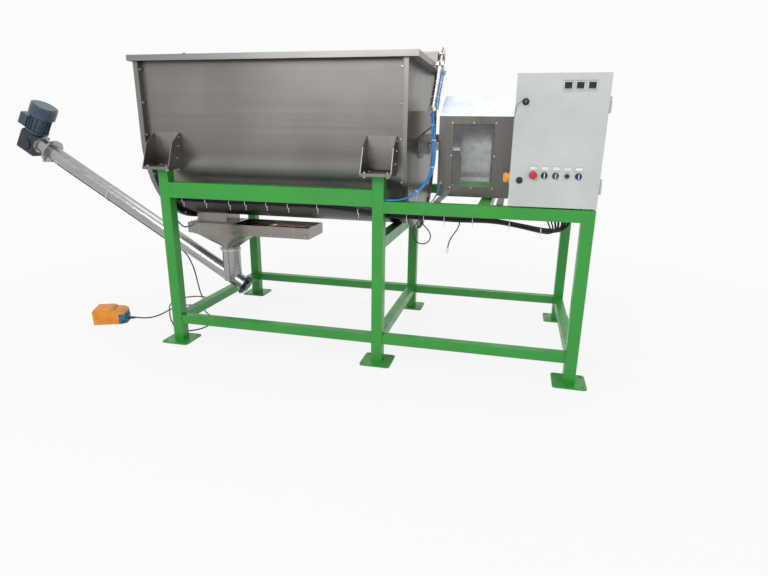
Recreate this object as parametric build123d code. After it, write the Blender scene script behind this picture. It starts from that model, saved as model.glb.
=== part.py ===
from build123d import *
import math
import os

# A horizontal powder mixer: a U-shaped trough with a ribbon rotor on a welded frame,
# a geared drive in a guard, a control cabinet, a slide gate outlet and an inclined screw conveyor.
# Millimetres, +Z up, X along the trough, the operator stands on the -Y side.
# The origin lies on the floor, at the centre of the frame's footprint.

# Trough size and place, which the frame follows
trough_radius = 545.0
trough_floor_z = 833.0
axis_z = trough_floor_z + trough_radius

# Frame
frame_length = 2730.0
side_room = 90.0
frame_width = 2 * (trough_radius + side_room)
leg_size = 70.0
leg_wall = 4.0
mid_leg_x = 125.0
trough_leg_top = 1205.0
beam_top = 1120.0
beam_height = 100.0
drive_rail_drop = 323.0
drive_rail_top = axis_z - drive_rail_drop
drive_rail_height = 70.0
rail_depth = 60.0
rail_wall = 4.0
low_rail_top = 195.0
low_rail_height = 60.0
cross_rail_size = 70.0
drive_cross_x = 750.0
foot_size = 200.0
foot_thickness = 10.0
foot_corner = 20.0
foot_hole_pitch = 150.0
foot_hole = 18.0

# Trough
trough_x0 = -1482.0
trough_x1 = 260.0
trough_wall = 5.0
rim_rise = 517.0
rim_top = axis_z + rim_rise
rim_overhang = 53.0
rim_left = 41.0
rim_right = 78.0
rim_sheet = 5.0
rim_lip = 20.0
flange_height = 35.0
flange_thickness = 10.0
end_plate = 6.0
end_lip = 18.0
end_lip_wall = 3.0
end_bolt_pitch = 200.0
under_trough_gap = 1.0

# Support brackets between the trough and its legs
bracket_width = 190.0
bracket_sheet = 5.0
bracket_reach = 70.0
bracket_knee_drop = 8.0
bracket_knee_reach = 95.0
bracket_rise = 57.0
bracket_knee_z = axis_z - bracket_knee_drop
bracket_knee_y = trough_radius + bracket_knee_reach
bracket_top_z = axis_z + bracket_rise
cap_plate = 10.0
base_plate = 8.0
base_bolt_inset = 24.0

# Bolts
bolt_d = 12.0
bolt_hex = 18.0
bolt_head = 7.5
nut_height = 9.5

# Lid and its lift
lid_sheet = 5.0
lid_lip = 30.0
lid_gap = 2.0
lid_rear_reach = 2.0
hinge_reach = 20.0
lid_rear = trough_radius + rim_overhang + lid_rear_reach
hinge_y = trough_radius + rim_overhang + hinge_reach
hinge_inset = 260.0
strap_sheet = 4.0
hinge_rise = 2.0
knuckle_r = 9.0
hinge_pin_r = 5.0
hinge_play = 0.06
knuckle_length = 26.0
knuckle_gap = 0.5
strap_width = 60.0
strap_length = 90.0
hinge_count = 3
beam_y = 135.0
lift_beam_width = 60.0
lift_beam_height = 80.0
lift_beam_wall = 4.0
cylinder_offset = 35.0
pivot_y = -315.0
pivot_drop = 352.0
pivot_z = rim_top - pivot_drop
rod_pin_y = 95.0
rod_pin_rise = 85.0
rod_pin_z = rim_top + rod_pin_rise
lift_angle = 40.0
barrel_r = 23.0
barrel_length = 470.0
lift_rod_r = 8.0
lug_plate = 10.0
lug_slot_angle = 164.0
lug_slot_travel = 46.0
lug_slot_play = 4.5
pin_r = 6.0
pivot_bore_play = 0.06
eye_width = 24.0
eye_r = 16.0
fork_cheek = 6.0
side_gap = 1.0
gusset_sheet = 5.0
gusset_rise = 39.0
gusset_drop = 123.0
gusset_top_z = pivot_z + gusset_rise
gusset_foot_z = pivot_z - gusset_drop
gusset_half = 45.0
mount_plate = 6.0

# Rotor
shaft_r = 40.0
rotor_top_gap = 10.0
rotor_end_gap = 15.0
ribbon_width = 70.0
ribbon_thick = 8.0
outer_pitch = 860.0
outer_turns = 2
inner_radius = 300.0
inner_width = 60.0
inner_turns = 2
arm_r = 16.0
arm_count = 9
arm_lap = 14.0
hub_r = 56.0
hub_length = 60.0
bearing_r = 95.0
bearing_length = 60.0
bearing_flange = 12.0
seal_r = 60.0
seal_length = 14.0
running_gap = 0.06

# Drive
gearbox_x0 = 560.0
gearbox_width = 190.0
gearbox_depth = 220.0
gearbox_drop = 215.0
motor_r = 105.0
motor_length = 330.0
fan_cover_length = 80.0
drive_floor_drop = 238.0
drive_floor_z = axis_z - drive_floor_drop
drive_floor_sheet = 10.0
coupling_r = 70.0

# Guard
guard_x0 = 437.0
guard_x1 = 882.0
guard_half = 335.0
guard_rear = 470.0
guard_lift = 14.0
guard_eave_rise = 177.0
guard_ridge_rise = 306.0
guard_ridge_front = -70.0
guard_ridge_rear = 120.0
guard_flange = 24.0
guard_foot = 40.0
guard_foot_sheet = 6.0
guard_z0 = drive_rail_top + guard_lift
guard_z1 = axis_z + guard_eave_rise
guard_top = axis_z + guard_ridge_rise
guard_sheet = 3.0
window_x0 = 526.0
window_x1 = 773.0
window_z0 = guard_z0 + 66.0
window_z1 = guard_z1 - 46.0
window_sheet = 4.0
window_lap = 16.0
tie_bar_z0 = axis_z + 26.0
tie_bar_z1 = tie_bar_z0 + 42.0

# Control cabinet
cabinet_x0 = 887.0
cabinet_x1 = 1365.0
cabinet_foot = 8.0
cabinet_height = 705.0
cabinet_z0 = drive_rail_top + cabinet_foot
cabinet_z1 = cabinet_z0 + cabinet_height
cabinet_depth = 210.0
cabinet_front = frame_width / 2
cabinet_edge = 16.0
mounting_plate_inset = 40.0
mounting_plate_gap = 9.0
mounting_plate_sheet = 3.0
cabinet_wall = 2.0
door_thick = 20.0
door_skin = 2.0
door_gap = 1.0
door_hinge_r = 7.0
door_hinge_pin_r = 4.0
door_hinge_length = 60.0
lock_r = 14.0
lock_x = 940.0
lock_cam = 46.0
upper_lock_z = cabinet_z1 - 144.0
lower_lock_z = cabinet_z0 + 145.0
control_z = cabinet_z0 + 175.0
stop_x = 1011.0
control_pitch = 60.0
control_r = 15.0
panel_hole_r = 11.15
stem_r = 11.0
stop_r = 20.0
meter_size = 48.0
meter_x = 1150.0
meter_pitch = 60.0
meter_z = cabinet_z1 - 62.0
switch_y = 90.0 - cabinet_front
switch_z = cabinet_z0 + 152.0
switch_base = 64.0
switch_handle_r = 20.0

# Outlet, slide gate and hopper
duct_x0 = -1440.0
duct_x1 = -1195.0
duct_half = 105.0
duct_wall = 4.0
gate_x0 = -1500.0
gate_x1 = -515.0
gate_half = 150.0
gate_top = 770.0
gate_height = 80.0
gate_sheet = 5.0
blade_z = 728.0
blade_thick = 6.0
blade_half = 136.0
blade_play = 0.3
gate_travel = 262.0
guide_width = 16.0
guide_height = 26.0
gate_barrel_r = 25.0
gate_barrel_length = 340.0
gate_rod_r = 8.0
hopper_x1 = -1020.0
hopper_half = 140.0
hopper_wall = 3.0
hopper_flange = 6.0
pipe_x = -1231.0
pipe_r = 70.0
hopper_bottom = 571.0
clamp_z = 545.0
clamp_height = 20.0
clamp_thick = 5.0

# Screw conveyor
screw_angle = 31.0
tail_x = -1129.0
tail_z = 259.0
tube_r = 57.0
tube_wall = 3.0
tube_length = 1943.0
head_length = 112.0
tail_flange_r = 82.0
head_flange_r = 98.0
head_end_r = 74.0
screw_flange = 8.0
spout_r = 51.0
spout_back = 48.0
spout_drop = 106.0
spout_clear = 20.0
saddle_drop = 24.0
flight_r = 52.0
flight_thick = 4.0
flight_pitch = 190.0
screw_shaft_r = 16.0
tail_bearing_r = 48.0
tail_bearing_length = 30.0
worm_box = 150.0
worm_box_up = 62.0
worm_box_down = 112.0
screw_motor_r = 85.0
screw_motor_length = 140.0
screw_fan_r = 98.0
screw_fan_length = 84.0
terminal_box = 110.0
conduit_r = 9.0
conduit_start = 640.0

# Foot switch
pedal_x = -2060.0
pedal_y = -420.0
pedal_turn = 24.0
pedal_length = 240.0
pedal_width = 150.0
pedal_height = 122.0
pedal_base_height = 32.0
pedal_wall = 4.0
treadle_angle = 8.0
treadle_pin_r = 4.0
cord_r = 5.0
gland_r = 11.0
gland_length = 26.0

# Cables and hoses
bundle_r = 16.0
seat_gap = 0.2
hose_r = 6.0
loose_r = 3.5
plug_r = 7.0
plug_length = 34.0


def block(x0, x1, y0, y1, z0, z1):
    """A box between two corners."""
    size = (x1 - x0, y1 - y0, z1 - z0)
    return Pos((x0 + x1) / 2, (y0 + y1) / 2, (z0 + z1) / 2) * Box(*size)


def rod(start, direction, radius, length):
    """A round bar from a point along a direction."""
    base = Plane(origin=start, z_dir=direction)
    return base * Cylinder(radius, length, align=(Align.CENTER, Align.CENTER, Align.MIN))


def tube(start, direction, radius, bore, length):
    """A round tube from a point along a direction."""
    return rod(start, direction, radius, length) - rod(start, direction, bore, length)


def hexagon(start, direction, across, length):
    """A hexagonal head or nut from a point along a direction."""
    outline = Plane(origin=start, z_dir=direction) * RegularPolygon(across / 2, 6, major_radius=False)
    return extrude(outline, length)


def square_tube(x0, x1, y0, y1, z0, z1, wall, axis):
    """A rectangular hollow section that runs along one axis."""
    inset = [wall, wall, wall]
    inset["xyz".index(axis)] = 0.0
    outer = block(x0, x1, y0, y1, z0, z1)
    return outer - block(x0 + inset[0], x1 - inset[0], y0 + inset[1], y1 - inset[1],
                         z0 + inset[2], z1 - inset[2])


def as_solids(shape):
    """The separate solids of a shape."""
    return list(shape.solids())


def half_length():
    return frame_length / 2


def half_width():
    return frame_width / 2


def leg_centres():
    """The six legs: left, middle and right, front and rear."""
    end_x = half_length() - leg_size / 2
    side_y = half_width() - leg_size / 2
    return [(x, y) for x in (-end_x, mid_leg_x, end_x) for y in (-side_y, side_y)]


def trough_leg_centres():
    return leg_centres()[:4]


# Frame

def make_legs():
    legs = []
    for x, y in leg_centres():
        on_trough = x < half_length() - leg_size
        top = trough_leg_top if on_trough else drive_rail_top - drive_rail_height
        half = leg_size / 2
        legs.append(square_tube(x - half, x + half, y - half, y + half, foot_thickness, top,
                                leg_wall, "z"))
    return legs


def make_foot_plates():
    plates = []
    for x, y in leg_centres():
        outline = RectangleRounded(foot_size, foot_size, foot_corner)
        holes = GridLocations(foot_hole_pitch, foot_hole_pitch, 2, 2) * Circle(foot_hole / 2)
        plates.append(Pos(x, y, 0) * extrude(outline - holes, foot_thickness))
    return plates


def make_leg_cap_plates():
    """A plate on each trough leg, which carries the trough bracket."""
    caps = []
    for x, y in trough_leg_centres():
        side = math.copysign(1, y)
        near = side * (half_width() + bracket_reach)
        far = side * (half_width() - leg_size - 15)
        plate = block(x - bracket_width / 2, x + bracket_width / 2, min(near, far), max(near, far),
                      trough_leg_top, trough_leg_top + cap_plate)
        caps.append(plate - bracket_bolt_holes(x, y))
    return caps


def bracket_bolt_spots(x, y):
    side = math.copysign(1, y)
    reach = bracket_width / 2 - base_bolt_inset
    out_y = side * (half_width() + bracket_reach - base_bolt_inset)
    in_y = side * (half_width() - leg_size + 2)
    return [(x - reach, out_y), (x + reach, out_y), (x - reach, in_y), (x + reach, in_y)]


def bracket_bolt_holes(x, y):
    depth = 4 * cap_plate
    holes = [Pos(bx, by, trough_leg_top) * Cylinder(bolt_d / 2 + 0.5, depth)
             for bx, by in bracket_bolt_spots(x, y)]
    return Part() + holes


def make_upper_rails():
    """Deep beams under the trough, lower rails under the drive, and the cross rails."""
    left = -half_length() + leg_size
    mid_left = mid_leg_x - leg_size / 2
    mid_right = mid_leg_x + leg_size / 2
    rails = []
    for side in (-1, 1):
        outer = side * half_width()
        inner = side * (half_width() - rail_depth)
        deep_inner = side * (half_width() - leg_size)
        rails.append(square_tube(left, mid_left, min(outer, inner), max(outer, inner),
                                 beam_top - beam_height, beam_top, rail_wall, "x"))
        rails.append(square_tube(mid_right, half_length(), min(outer, deep_inner), max(outer, deep_inner),
                                 drive_rail_top - drive_rail_height, drive_rail_top, rail_wall, "x"))
    cross_y = half_width() - leg_size
    under = axis_z - trough_radius - under_trough_gap
    rails.append(square_tube(mid_left, mid_right, -cross_y, cross_y, under - cross_rail_size, under,
                             rail_wall, "y"))
    for x in (drive_cross_x, half_length() - leg_size / 2):
        rails.append(square_tube(x - cross_rail_size / 2, x + cross_rail_size / 2, -cross_y, cross_y,
                                 drive_rail_top - drive_rail_height, drive_rail_top, rail_wall, "y"))
    return rails


def make_lower_rails():
    """Rails close to the floor on all four sides, with a cross rail at each pair of legs."""
    z0 = low_rail_top - low_rail_height
    end = half_length() - leg_size
    mid_left = mid_leg_x - leg_size / 2
    mid_right = mid_leg_x + leg_size / 2
    rails = []
    for side in (-1, 1):
        outer = side * (half_width() - (leg_size - rail_depth) / 2)
        inner = outer - side * rail_depth
        for x0, x1 in ((-end, mid_left), (mid_right, end)):
            rails.append(square_tube(x0, x1, min(outer, inner), max(outer, inner), z0, low_rail_top,
                                     rail_wall, "x"))
    cross_y = half_width() - leg_size
    half = low_rail_height / 2
    for x in (-half_length() + leg_size / 2, mid_leg_x, half_length() - leg_size / 2):
        rails.append(square_tube(x - half, x + half, -cross_y, cross_y, z0, low_rail_top, rail_wall, "y"))
    return rails


# Trough

def u_profile(offset, top):
    """The U outline of the trough in the YZ plane, grown outwards by an offset."""
    r = trough_radius + offset
    with BuildSketch(Plane.YZ) as sketch:
        with BuildLine():
            ThreePointArc((-r, axis_z), (0, axis_z - r), (r, axis_z))
            Polyline((r, axis_z), (r, top), (-r, top), (-r, axis_z))
        make_face()
    return sketch.sketch


def u_solid(offset, top, x0, x1):
    return Pos(x0, 0, 0) * extrude(u_profile(offset, top), x1 - x0)


def end_bolt_spots():
    """Bolt places round the end flange, as (y, z), in even steps along the U."""
    r = trough_radius + flange_height * 0.55
    spots = []
    straight = rim_top - rim_sheet - rim_lip - 30 - axis_z
    steps = int(straight // end_bolt_pitch)
    for i in range(steps + 1):
        z = axis_z + 40 + i * end_bolt_pitch
        spots += [(-r, z), (r, z)]
    arc_count = int(math.pi * r // end_bolt_pitch)
    for i in range(1, arc_count):
        a = math.pi * (1 + i / arc_count)
        spots.append((r * math.cos(a), axis_z + r * math.sin(a)))
    return spots


def end_bolt_holes(x0, x1):
    holes = [rod((x0, y, z), (1, 0, 0), bolt_d / 2 + 0.5, x1 - x0) for y, z in end_bolt_spots()]
    return Part() + holes


def make_trough_shell():
    """The U sheet with its end flanges and the folded rim, welded in sections at the outlet."""
    top = rim_top - rim_sheet
    shell = u_solid(0, top, trough_x0, trough_x1)
    for x0, x1 in ((trough_x0, trough_x0 + flange_thickness), (trough_x1 - flange_thickness, trough_x1)):
        shell += u_solid(flange_height, top, x0, x1)
    rim_y = trough_radius + rim_overhang
    shell += block(trough_x0 - rim_left, trough_x1 + rim_right, -rim_y, rim_y, top, rim_top)
    lip = block(trough_x0 - rim_left, trough_x1 + rim_right, -rim_y, rim_y, rim_top - rim_lip, top)
    lip -= block(trough_x0 - rim_left + rim_sheet, trough_x1 + rim_right - rim_sheet,
                 -rim_y + rim_sheet, rim_y - rim_sheet, rim_top - rim_lip, top)
    shell += lip
    shell -= u_solid(-trough_wall, rim_top + 1, trough_x0 - 1, trough_x1 + 1)
    shell -= block(duct_x0 + duct_wall, duct_x1 - duct_wall, -duct_half + duct_wall,
                   duct_half - duct_wall, axis_z - trough_radius - 60, axis_z - trough_radius + 60)
    shell -= end_bolt_holes(trough_x0 - 1, trough_x0 + flange_thickness + 1)
    shell -= end_bolt_holes(trough_x1 - flange_thickness - 1, trough_x1 + 1)
    seams = [trough_x0 - rim_left, duct_x0 + duct_wall, duct_x1 - duct_wall, trough_x1 + rim_right]
    return [shell & block(x0, x1, -rim_y, rim_y, axis_z - trough_radius - flange_height, rim_top)
            for x0, x1 in zip(seams, seams[1:])]


def make_end_plate(side):
    """A flat end with a folded edge, and the hole for the shaft seal."""
    x = trough_x0 if side < 0 else trough_x1
    x0, x1 = sorted((x, x + side * end_plate))
    lip0, lip1 = sorted((x, x + side * (end_plate + end_lip)))
    top = rim_top - rim_sheet
    outer = u_solid(flange_height, top, lip0, lip1)
    hollow = u_solid(flange_height - end_lip_wall, top + 1, min(lip0, lip1), max(lip0, lip1))
    plate = outer - hollow
    plate += u_solid(flange_height, top, x0, x1)
    plate -= end_bolt_holes(x0 - 1, x1 + 1)
    return plate - rod((lip0 - 1, 0, axis_z), (1, 0, 0), seal_r + 0.5, lip1 - lip0 + 2)


def bolt_through(start, direction, grip):
    """A hexagon bolt with its nut, clamping a stack of plates."""
    back = [-d for d in direction]
    end = [s + d * grip for s, d in zip(start, direction)]
    parts = hexagon(start, back, bolt_hex, bolt_head)
    parts += rod(start, direction, bolt_d / 2, grip)
    return parts + hexagon(end, direction, bolt_hex, nut_height)


def make_bolts():
    """All the hexagon bolts of the trough ends and of the brackets."""
    bolts = []
    grip = flange_thickness + end_plate
    for y, z in end_bolt_spots():
        bolts.append(bolt_through((trough_x0 + flange_thickness, y, z), (-1, 0, 0), grip))
        bolts.append(bolt_through((trough_x1 - flange_thickness, y, z), (1, 0, 0), grip))
    top = trough_leg_top + cap_plate + base_plate
    for x, y in trough_leg_centres():
        for bx, by in bracket_bolt_spots(x, y):
            bolts.append(bolt_through((bx, by, top), (0, 0, -1), cap_plate + base_plate))
    return bolts


def make_bracket(x, side):
    """A base plate, two gussets and a doubler that follow the trough wall."""
    base_z = trough_leg_top + cap_plate
    top_z = base_z + base_plate
    out_y = half_width() + bracket_reach
    in_y = half_width() - leg_size - 15
    with BuildSketch(Plane.YZ) as side_view:
        with BuildLine():
            Polyline((-out_y + 4, top_z), (-bracket_knee_y, bracket_knee_z), (-trough_radius, bracket_top_z),
                     (-in_y + 60, bracket_top_z), (-in_y + 60, top_z), (-out_y + 4, top_z))
        make_face()
    half = bracket_width / 2
    profile = side_view.sketch
    bracket = Pos(x - half, 0, 0) * extrude(profile, bracket_sheet)
    bracket += Pos(x + half - bracket_sheet, 0, 0) * extrude(profile, bracket_sheet)
    wall = u_solid(bracket_sheet, bracket_top_z, x - half, x + half)
    bracket += wall & block(x - half, x + half, -trough_radius - bracket_reach, -trough_radius / 2, top_z,
                            bracket_top_z)
    bracket -= u_solid(0, rim_top, x - half - 1, x + half + 1)
    bracket += block(x - half, x + half, -out_y, -in_y, base_z, top_z)
    bracket -= u_solid(0, rim_top, x - half - 1, x + half + 1)
    if side > 0:
        bracket = mirror(bracket, Plane.XZ)
    return bracket - bracket_bolt_holes(x, side * half_width())


def make_support_brackets():
    return [make_bracket(x, math.copysign(1, y)) for x, y in trough_leg_centres()]


# Lid

def lid_x0():
    return trough_x0 - rim_left - lid_gap - lid_sheet


def lid_x1():
    return trough_x1 + rim_right + lid_gap + lid_sheet


def lid_front():
    return trough_radius + rim_overhang + lid_gap + lid_sheet


def hinge_z():
    return rim_top + lid_sheet + hinge_rise


def hinge_centres():
    span = lid_x1() - lid_x0() - 2 * hinge_inset
    return [lid_x0() + hinge_inset + i * span / (hinge_count - 1) for i in range(hinge_count)]


def make_lid():
    """A flat sheet with folded front and side lips, stiffeners and the hinge straps."""
    top = rim_top + lid_sheet
    lid = block(lid_x0(), lid_x1(), -lid_front(), lid_rear, rim_top, top)
    lid += block(lid_x0(), lid_x1(), -lid_front(), -lid_front() + lid_sheet, rim_top - lid_lip, rim_top)
    for x0 in (lid_x0(), lid_x1() - lid_sheet):
        lid += block(x0, x0 + lid_sheet, -lid_front(), lid_rear - 60, rim_top - lid_lip, rim_top)
    for x in hinge_centres():
        half = strap_width / 2
        lid += block(x - half, x + half, lid_rear - strap_length, lid_rear + 2, top, top + 4)
        neck = knuckle_length / 2
        lid += block(x - neck, x + neck, lid_rear - 10, hinge_y, top, top + 4)
        lid += rod((x - neck, hinge_y, hinge_z()), (1, 0, 0), knuckle_r, knuckle_length)
        lid -= rod((x - 60, hinge_y, hinge_z()), (1, 0, 0), hinge_pin_r + hinge_play, 120)
    return lid


def make_lifting_beam():
    """A hollow beam across the lid, with a slotted lug at each end for the air cylinders."""
    z0 = rim_top + lid_sheet
    half = lift_beam_width / 2
    beam = square_tube(lid_x0(), lid_x1(), beam_y - half, beam_y + half, z0, z0 + lift_beam_height,
                       lift_beam_wall, "x")
    cap = lift_beam_wall
    for side in (-1, 1):
        edge = lid_x0() if side < 0 else lid_x1()
        centre = edge + side * cylinder_offset
        x0, x1 = sorted((edge, edge - side * cap))
        beam += block(x0, x1, beam_y - half, beam_y + half, z0, z0 + lift_beam_height)
        arm0, arm1 = sorted((edge, centre + side * lug_plate / 2))
        beam += block(arm0, arm1, beam_y + 28, beam_y + 52, z0 + 12, z0 + lift_beam_height - 10)
        link0, link1 = sorted((edge, edge - side * 60))
        beam += block(link0, link1, beam_y + half, beam_y + 52, z0, z0 + lift_beam_height)
        beam += lug_outline(centre)
        beam -= lug_slot(centre)
    return beam


def lug_direction():
    a = math.radians(lug_slot_angle)
    return math.cos(a), math.sin(a)


def lug_outline(centre):
    """A plate whose outline runs from the beam to a round nose about the slot's outer end."""
    dy, dz = lug_direction()
    tail_y = rod_pin_y - dy * lug_slot_travel
    tail_z = rod_pin_z - dz * lug_slot_travel
    nose = pin_r + lug_slot_play + 12
    with BuildSketch(Plane.YZ) as sketch:
        with Locations((rod_pin_y, rod_pin_z)):
            Circle(nose)
        with Locations((tail_y, tail_z)):
            Circle(nose)
        make_hull()
        with BuildLine():
            Polyline((tail_y, tail_z - nose), (beam_y + 52, tail_z - nose - 20),
                     (beam_y + 52, tail_z + nose - 4), (tail_y, tail_z + nose), (tail_y, tail_z - nose))
        make_face()
    return Pos(centre - lug_plate / 2, 0, 0) * extrude(sketch.sketch, lug_plate)


def lug_slot(centre):
    """The slot that lets the rod pin wander as the lid swings."""
    dy, dz = lug_direction()
    r = pin_r + lug_slot_play
    with BuildSketch(Plane.YZ) as sketch:
        with Locations((rod_pin_y, rod_pin_z)):
            Circle(r)
        with Locations((rod_pin_y - dy * lug_slot_travel, rod_pin_z - dz * lug_slot_travel)):
            Circle(r)
        make_hull()
    return Pos(centre - lug_plate, 0, 0) * extrude(sketch.sketch, 2 * lug_plate)


def make_hinge_brackets():
    """Fixed knuckles behind the rim, on each side of the lid's knuckle."""
    brackets = []
    rim_y = trough_radius + rim_overhang
    for x in hinge_centres():
        for side in (-1, 1):
            near = x + side * (knuckle_length / 2 + knuckle_gap)
            far = near + side * knuckle_length
            x0, x1 = sorted((near, far))
            part = rod((x0, hinge_y, hinge_z()), (1, 0, 0), knuckle_r, x1 - x0)
            part += block(x0, x1, rim_y, hinge_y + knuckle_r, rim_top - rim_lip, rim_top - 2)
            part += block(x0, x1, hinge_y - 6, hinge_y + knuckle_r, rim_top - 2, hinge_z())
            brackets.append(part - rod((x0 - 1, hinge_y, hinge_z()), (1, 0, 0), hinge_pin_r, x1 - x0 + 2))
    return brackets


def make_hinge_pins():
    reach = 1.5 * knuckle_length + knuckle_gap + 4
    return [rod((x - reach, hinge_y, hinge_z()), (1, 0, 0), hinge_pin_r, 2 * reach) for x in hinge_centres()]


def cylinder_x(side):
    return lid_x0() - cylinder_offset if side < 0 else lid_x1() + cylinder_offset


def make_cylinder_bracket(side):
    """Two gussets on the trough end with a cheek plate on each side of the cylinder's eye."""
    face = trough_x0 - end_plate if side < 0 else trough_x1 + end_plate
    centre = cylinder_x(side)
    cheek = eye_width / 2 + side_gap
    outer = abs(centre - face) + cheek + fork_cheek
    parts = Part()
    for dy, top in ((-gusset_half, gusset_top_z), (gusset_half - gusset_sheet, pivot_z - 20)):
        with BuildSketch(Plane.XZ) as view:
            with BuildLine():
                lean = outer - 8 if top > pivot_z else outer
                Polyline((0, gusset_foot_z), (0, top), (lean, top), (outer, pivot_z - 45),
                         (30, gusset_foot_z), (0, gusset_foot_z))
            make_face()
        parts += Pos(0, pivot_y + dy + gusset_sheet, 0) * extrude(view.sketch, gusset_sheet)
    z0 = pivot_z - 40
    for x0 in (outer - fork_cheek, outer - 2 * fork_cheek - 2 * cheek):
        parts += block(x0, x0 + fork_cheek, pivot_y - gusset_half, pivot_y + gusset_half, z0, pivot_z - 20)
        parts += block(x0, x0 + fork_cheek, pivot_y - 18, pivot_y + 18, pivot_z - 21, pivot_z + 16)
    parts += block(0, mount_plate, pivot_y - gusset_half - 10, pivot_y + gusset_half + 10, gusset_foot_z,
                   gusset_top_z)
    pin = rod((outer - 2 * fork_cheek - 2 * cheek - 3, pivot_y, pivot_z), (1, 0, 0), pin_r,
              2 * fork_cheek + 2 * cheek + 6)
    parts += pin
    if side < 0:
        parts = mirror(parts, Plane.YZ)
    return Pos(face, 0, 0) * parts


def make_cylinder_brackets():
    return [make_cylinder_bracket(-1), make_cylinder_bracket(1)]


def lift_direction():
    dy = rod_pin_y - pivot_y
    dz = rod_pin_z - pivot_z
    length = math.hypot(dy, dz)
    return dy / length, dz / length, length


def make_barrel(side):
    """An air cylinder barrel with its lower eye, square end caps and a bore for the rod."""
    dy, dz, _ = lift_direction()
    x = cylinder_x(side)
    along = (0, dy, dz)
    start = (x, pivot_y + dy * 34, pivot_z + dz * 34)
    barrel = rod(start, along, barrel_r, barrel_length - 34)
    eye = rod((x - eye_width / 2, pivot_y, pivot_z), (1, 0, 0), eye_r, eye_width)
    neck = Plane(origin=(x, pivot_y, pivot_z), x_dir=(1, 0, 0), z_dir=along)
    eye += neck * Pos(0, 0, 18) * Box(eye_width, 2 * eye_r - 4, 36)
    for s in (34, barrel_length - 32):
        barrel += neck * Pos(0, 0, s + 16) * Box(2 * barrel_r + 2, 2 * barrel_r + 2, 32)
    bore_start = (x, pivot_y + dy * 70, pivot_z + dz * 70)
    barrel -= rod(bore_start, along, lift_rod_r + 0.5, barrel_length)
    barrel += eye
    return barrel - rod((x - 40, pivot_y, pivot_z), (1, 0, 0), pin_r + pivot_bore_play, 80)


def make_lift_rod(side):
    """A piston rod with a fork and pin that reach round the beam's lug."""
    dy, dz, length = lift_direction()
    x = cylinder_x(side)
    along = (0, dy, dz)
    base = Plane(origin=(x, rod_pin_y, rod_pin_z), x_dir=(1, 0, 0), z_dir=along)
    inner = lug_plate / 2 + side_gap
    part = rod((x, pivot_y + dy * 90, pivot_z + dz * 90), along, lift_rod_r, length - 90 - 34)
    part += base * Pos(0, 0, -37) * Box(2 * (inner + fork_cheek), 26, 10)
    for s in (-1, 1):
        mid = s * (inner + fork_cheek / 2)
        part += base * Pos(mid, 0, -17) * Box(fork_cheek, 26, 34)
        part += rod((x + mid - fork_cheek / 2, rod_pin_y, rod_pin_z), (1, 0, 0), 13, fork_cheek)
    reach = inner + fork_cheek + 2
    return part + rod((x - reach, rod_pin_y, rod_pin_z), (1, 0, 0), pin_r, 2 * reach)


# Rotor

def rotor_radius():
    return rim_top - axis_z - rotor_top_gap


def rotor_x0():
    return trough_x0 + rotor_end_gap


def rotor_x1():
    return trough_x1 - rotor_end_gap


def make_mixer_shaft():
    """The shaft runs from the left bearing to the gearbox, with a hub for each arm."""
    start = trough_x0 - end_plate - bearing_length - 15
    end = gearbox_x0 + gearbox_width - 20
    shaft = rod((start, 0, axis_z), (1, 0, 0), shaft_r, end - start)
    for x in arm_places():
        shaft += rod((x - hub_length / 2, 0, axis_z), (1, 0, 0), hub_r, hub_length)
    return shaft


def arm_places():
    """The arms stand at even steps between the ribbons' two ends."""
    length = rotor_x1() - rotor_x0()
    inset = hub_length / 2 + 5
    step = (length - 2 * inset) / (arm_count - 1)
    return [rotor_x0() + inset + i * step for i in range(arm_count)]


def ribbon(radius, width, turns, left_hand):
    """A flat bar on edge, wound about the shaft as a true helix."""
    length = rotor_x1() - rotor_x0() - hub_length - 10
    start = rotor_x0() + hub_length / 2 + 5
    mean = radius - width / 2
    path = Helix(length / turns, length, mean, lefthand=left_hand)
    lead = math.atan2(length / turns, 2 * math.pi * mean)
    turn = -1 if left_hand else 1
    section_plane = Plane(origin=(mean, 0, 0), x_dir=(1, 0, 0),
                          z_dir=(0, turn * math.cos(lead), math.sin(lead)))
    section = section_plane * Rectangle(width, ribbon_thick)
    winding = sweep(section, path=path, is_frenet=True)
    up = -1 if left_hand else 1
    to_axis = Plane(origin=(start, 0, axis_z), x_dir=(0, 0, up), z_dir=(1, 0, 0))
    return to_axis * winding


def make_outer_ribbon():
    return ribbon(rotor_radius(), ribbon_width, outer_turns, False)


def make_inner_ribbon():
    return ribbon(inner_radius, inner_width, inner_turns, True)


def arm_directions(index):
    """Where the outer and the inner ribbon cross the arm's place, as unit vectors."""
    share = index / (arm_count - 1)
    outer = 2 * math.pi * outer_turns * share
    inner = math.pi - 2 * math.pi * inner_turns * share
    return [(0, -math.sin(a), math.cos(a)) for a in (outer, inner)]


def make_ribbon_arms(shaft, ribbons):
    """Round arms from each hub to the ribbons, trimmed where they meet the bars."""
    arms = []
    outer_reach = rotor_radius() - ribbon_width + arm_lap
    inner_reach = inner_radius - inner_width + arm_lap
    for i, x in enumerate(arm_places()):
        outer, inner = arm_directions(i)
        centre = (x, 0, axis_z)
        arms.append(rod(centre, outer, arm_r, outer_reach))
        if Vector(*outer).get_angle(Vector(*inner)) > 1:
            arms.append(rod(centre, inner, arm_r, inner_reach))
    trimmed = []
    for arm in arms:
        for other in [shaft] + ribbons:
            arm = arm - other
        trimmed += [piece for piece in as_solids(arm) if piece.volume > 500]
    return trimmed


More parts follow.
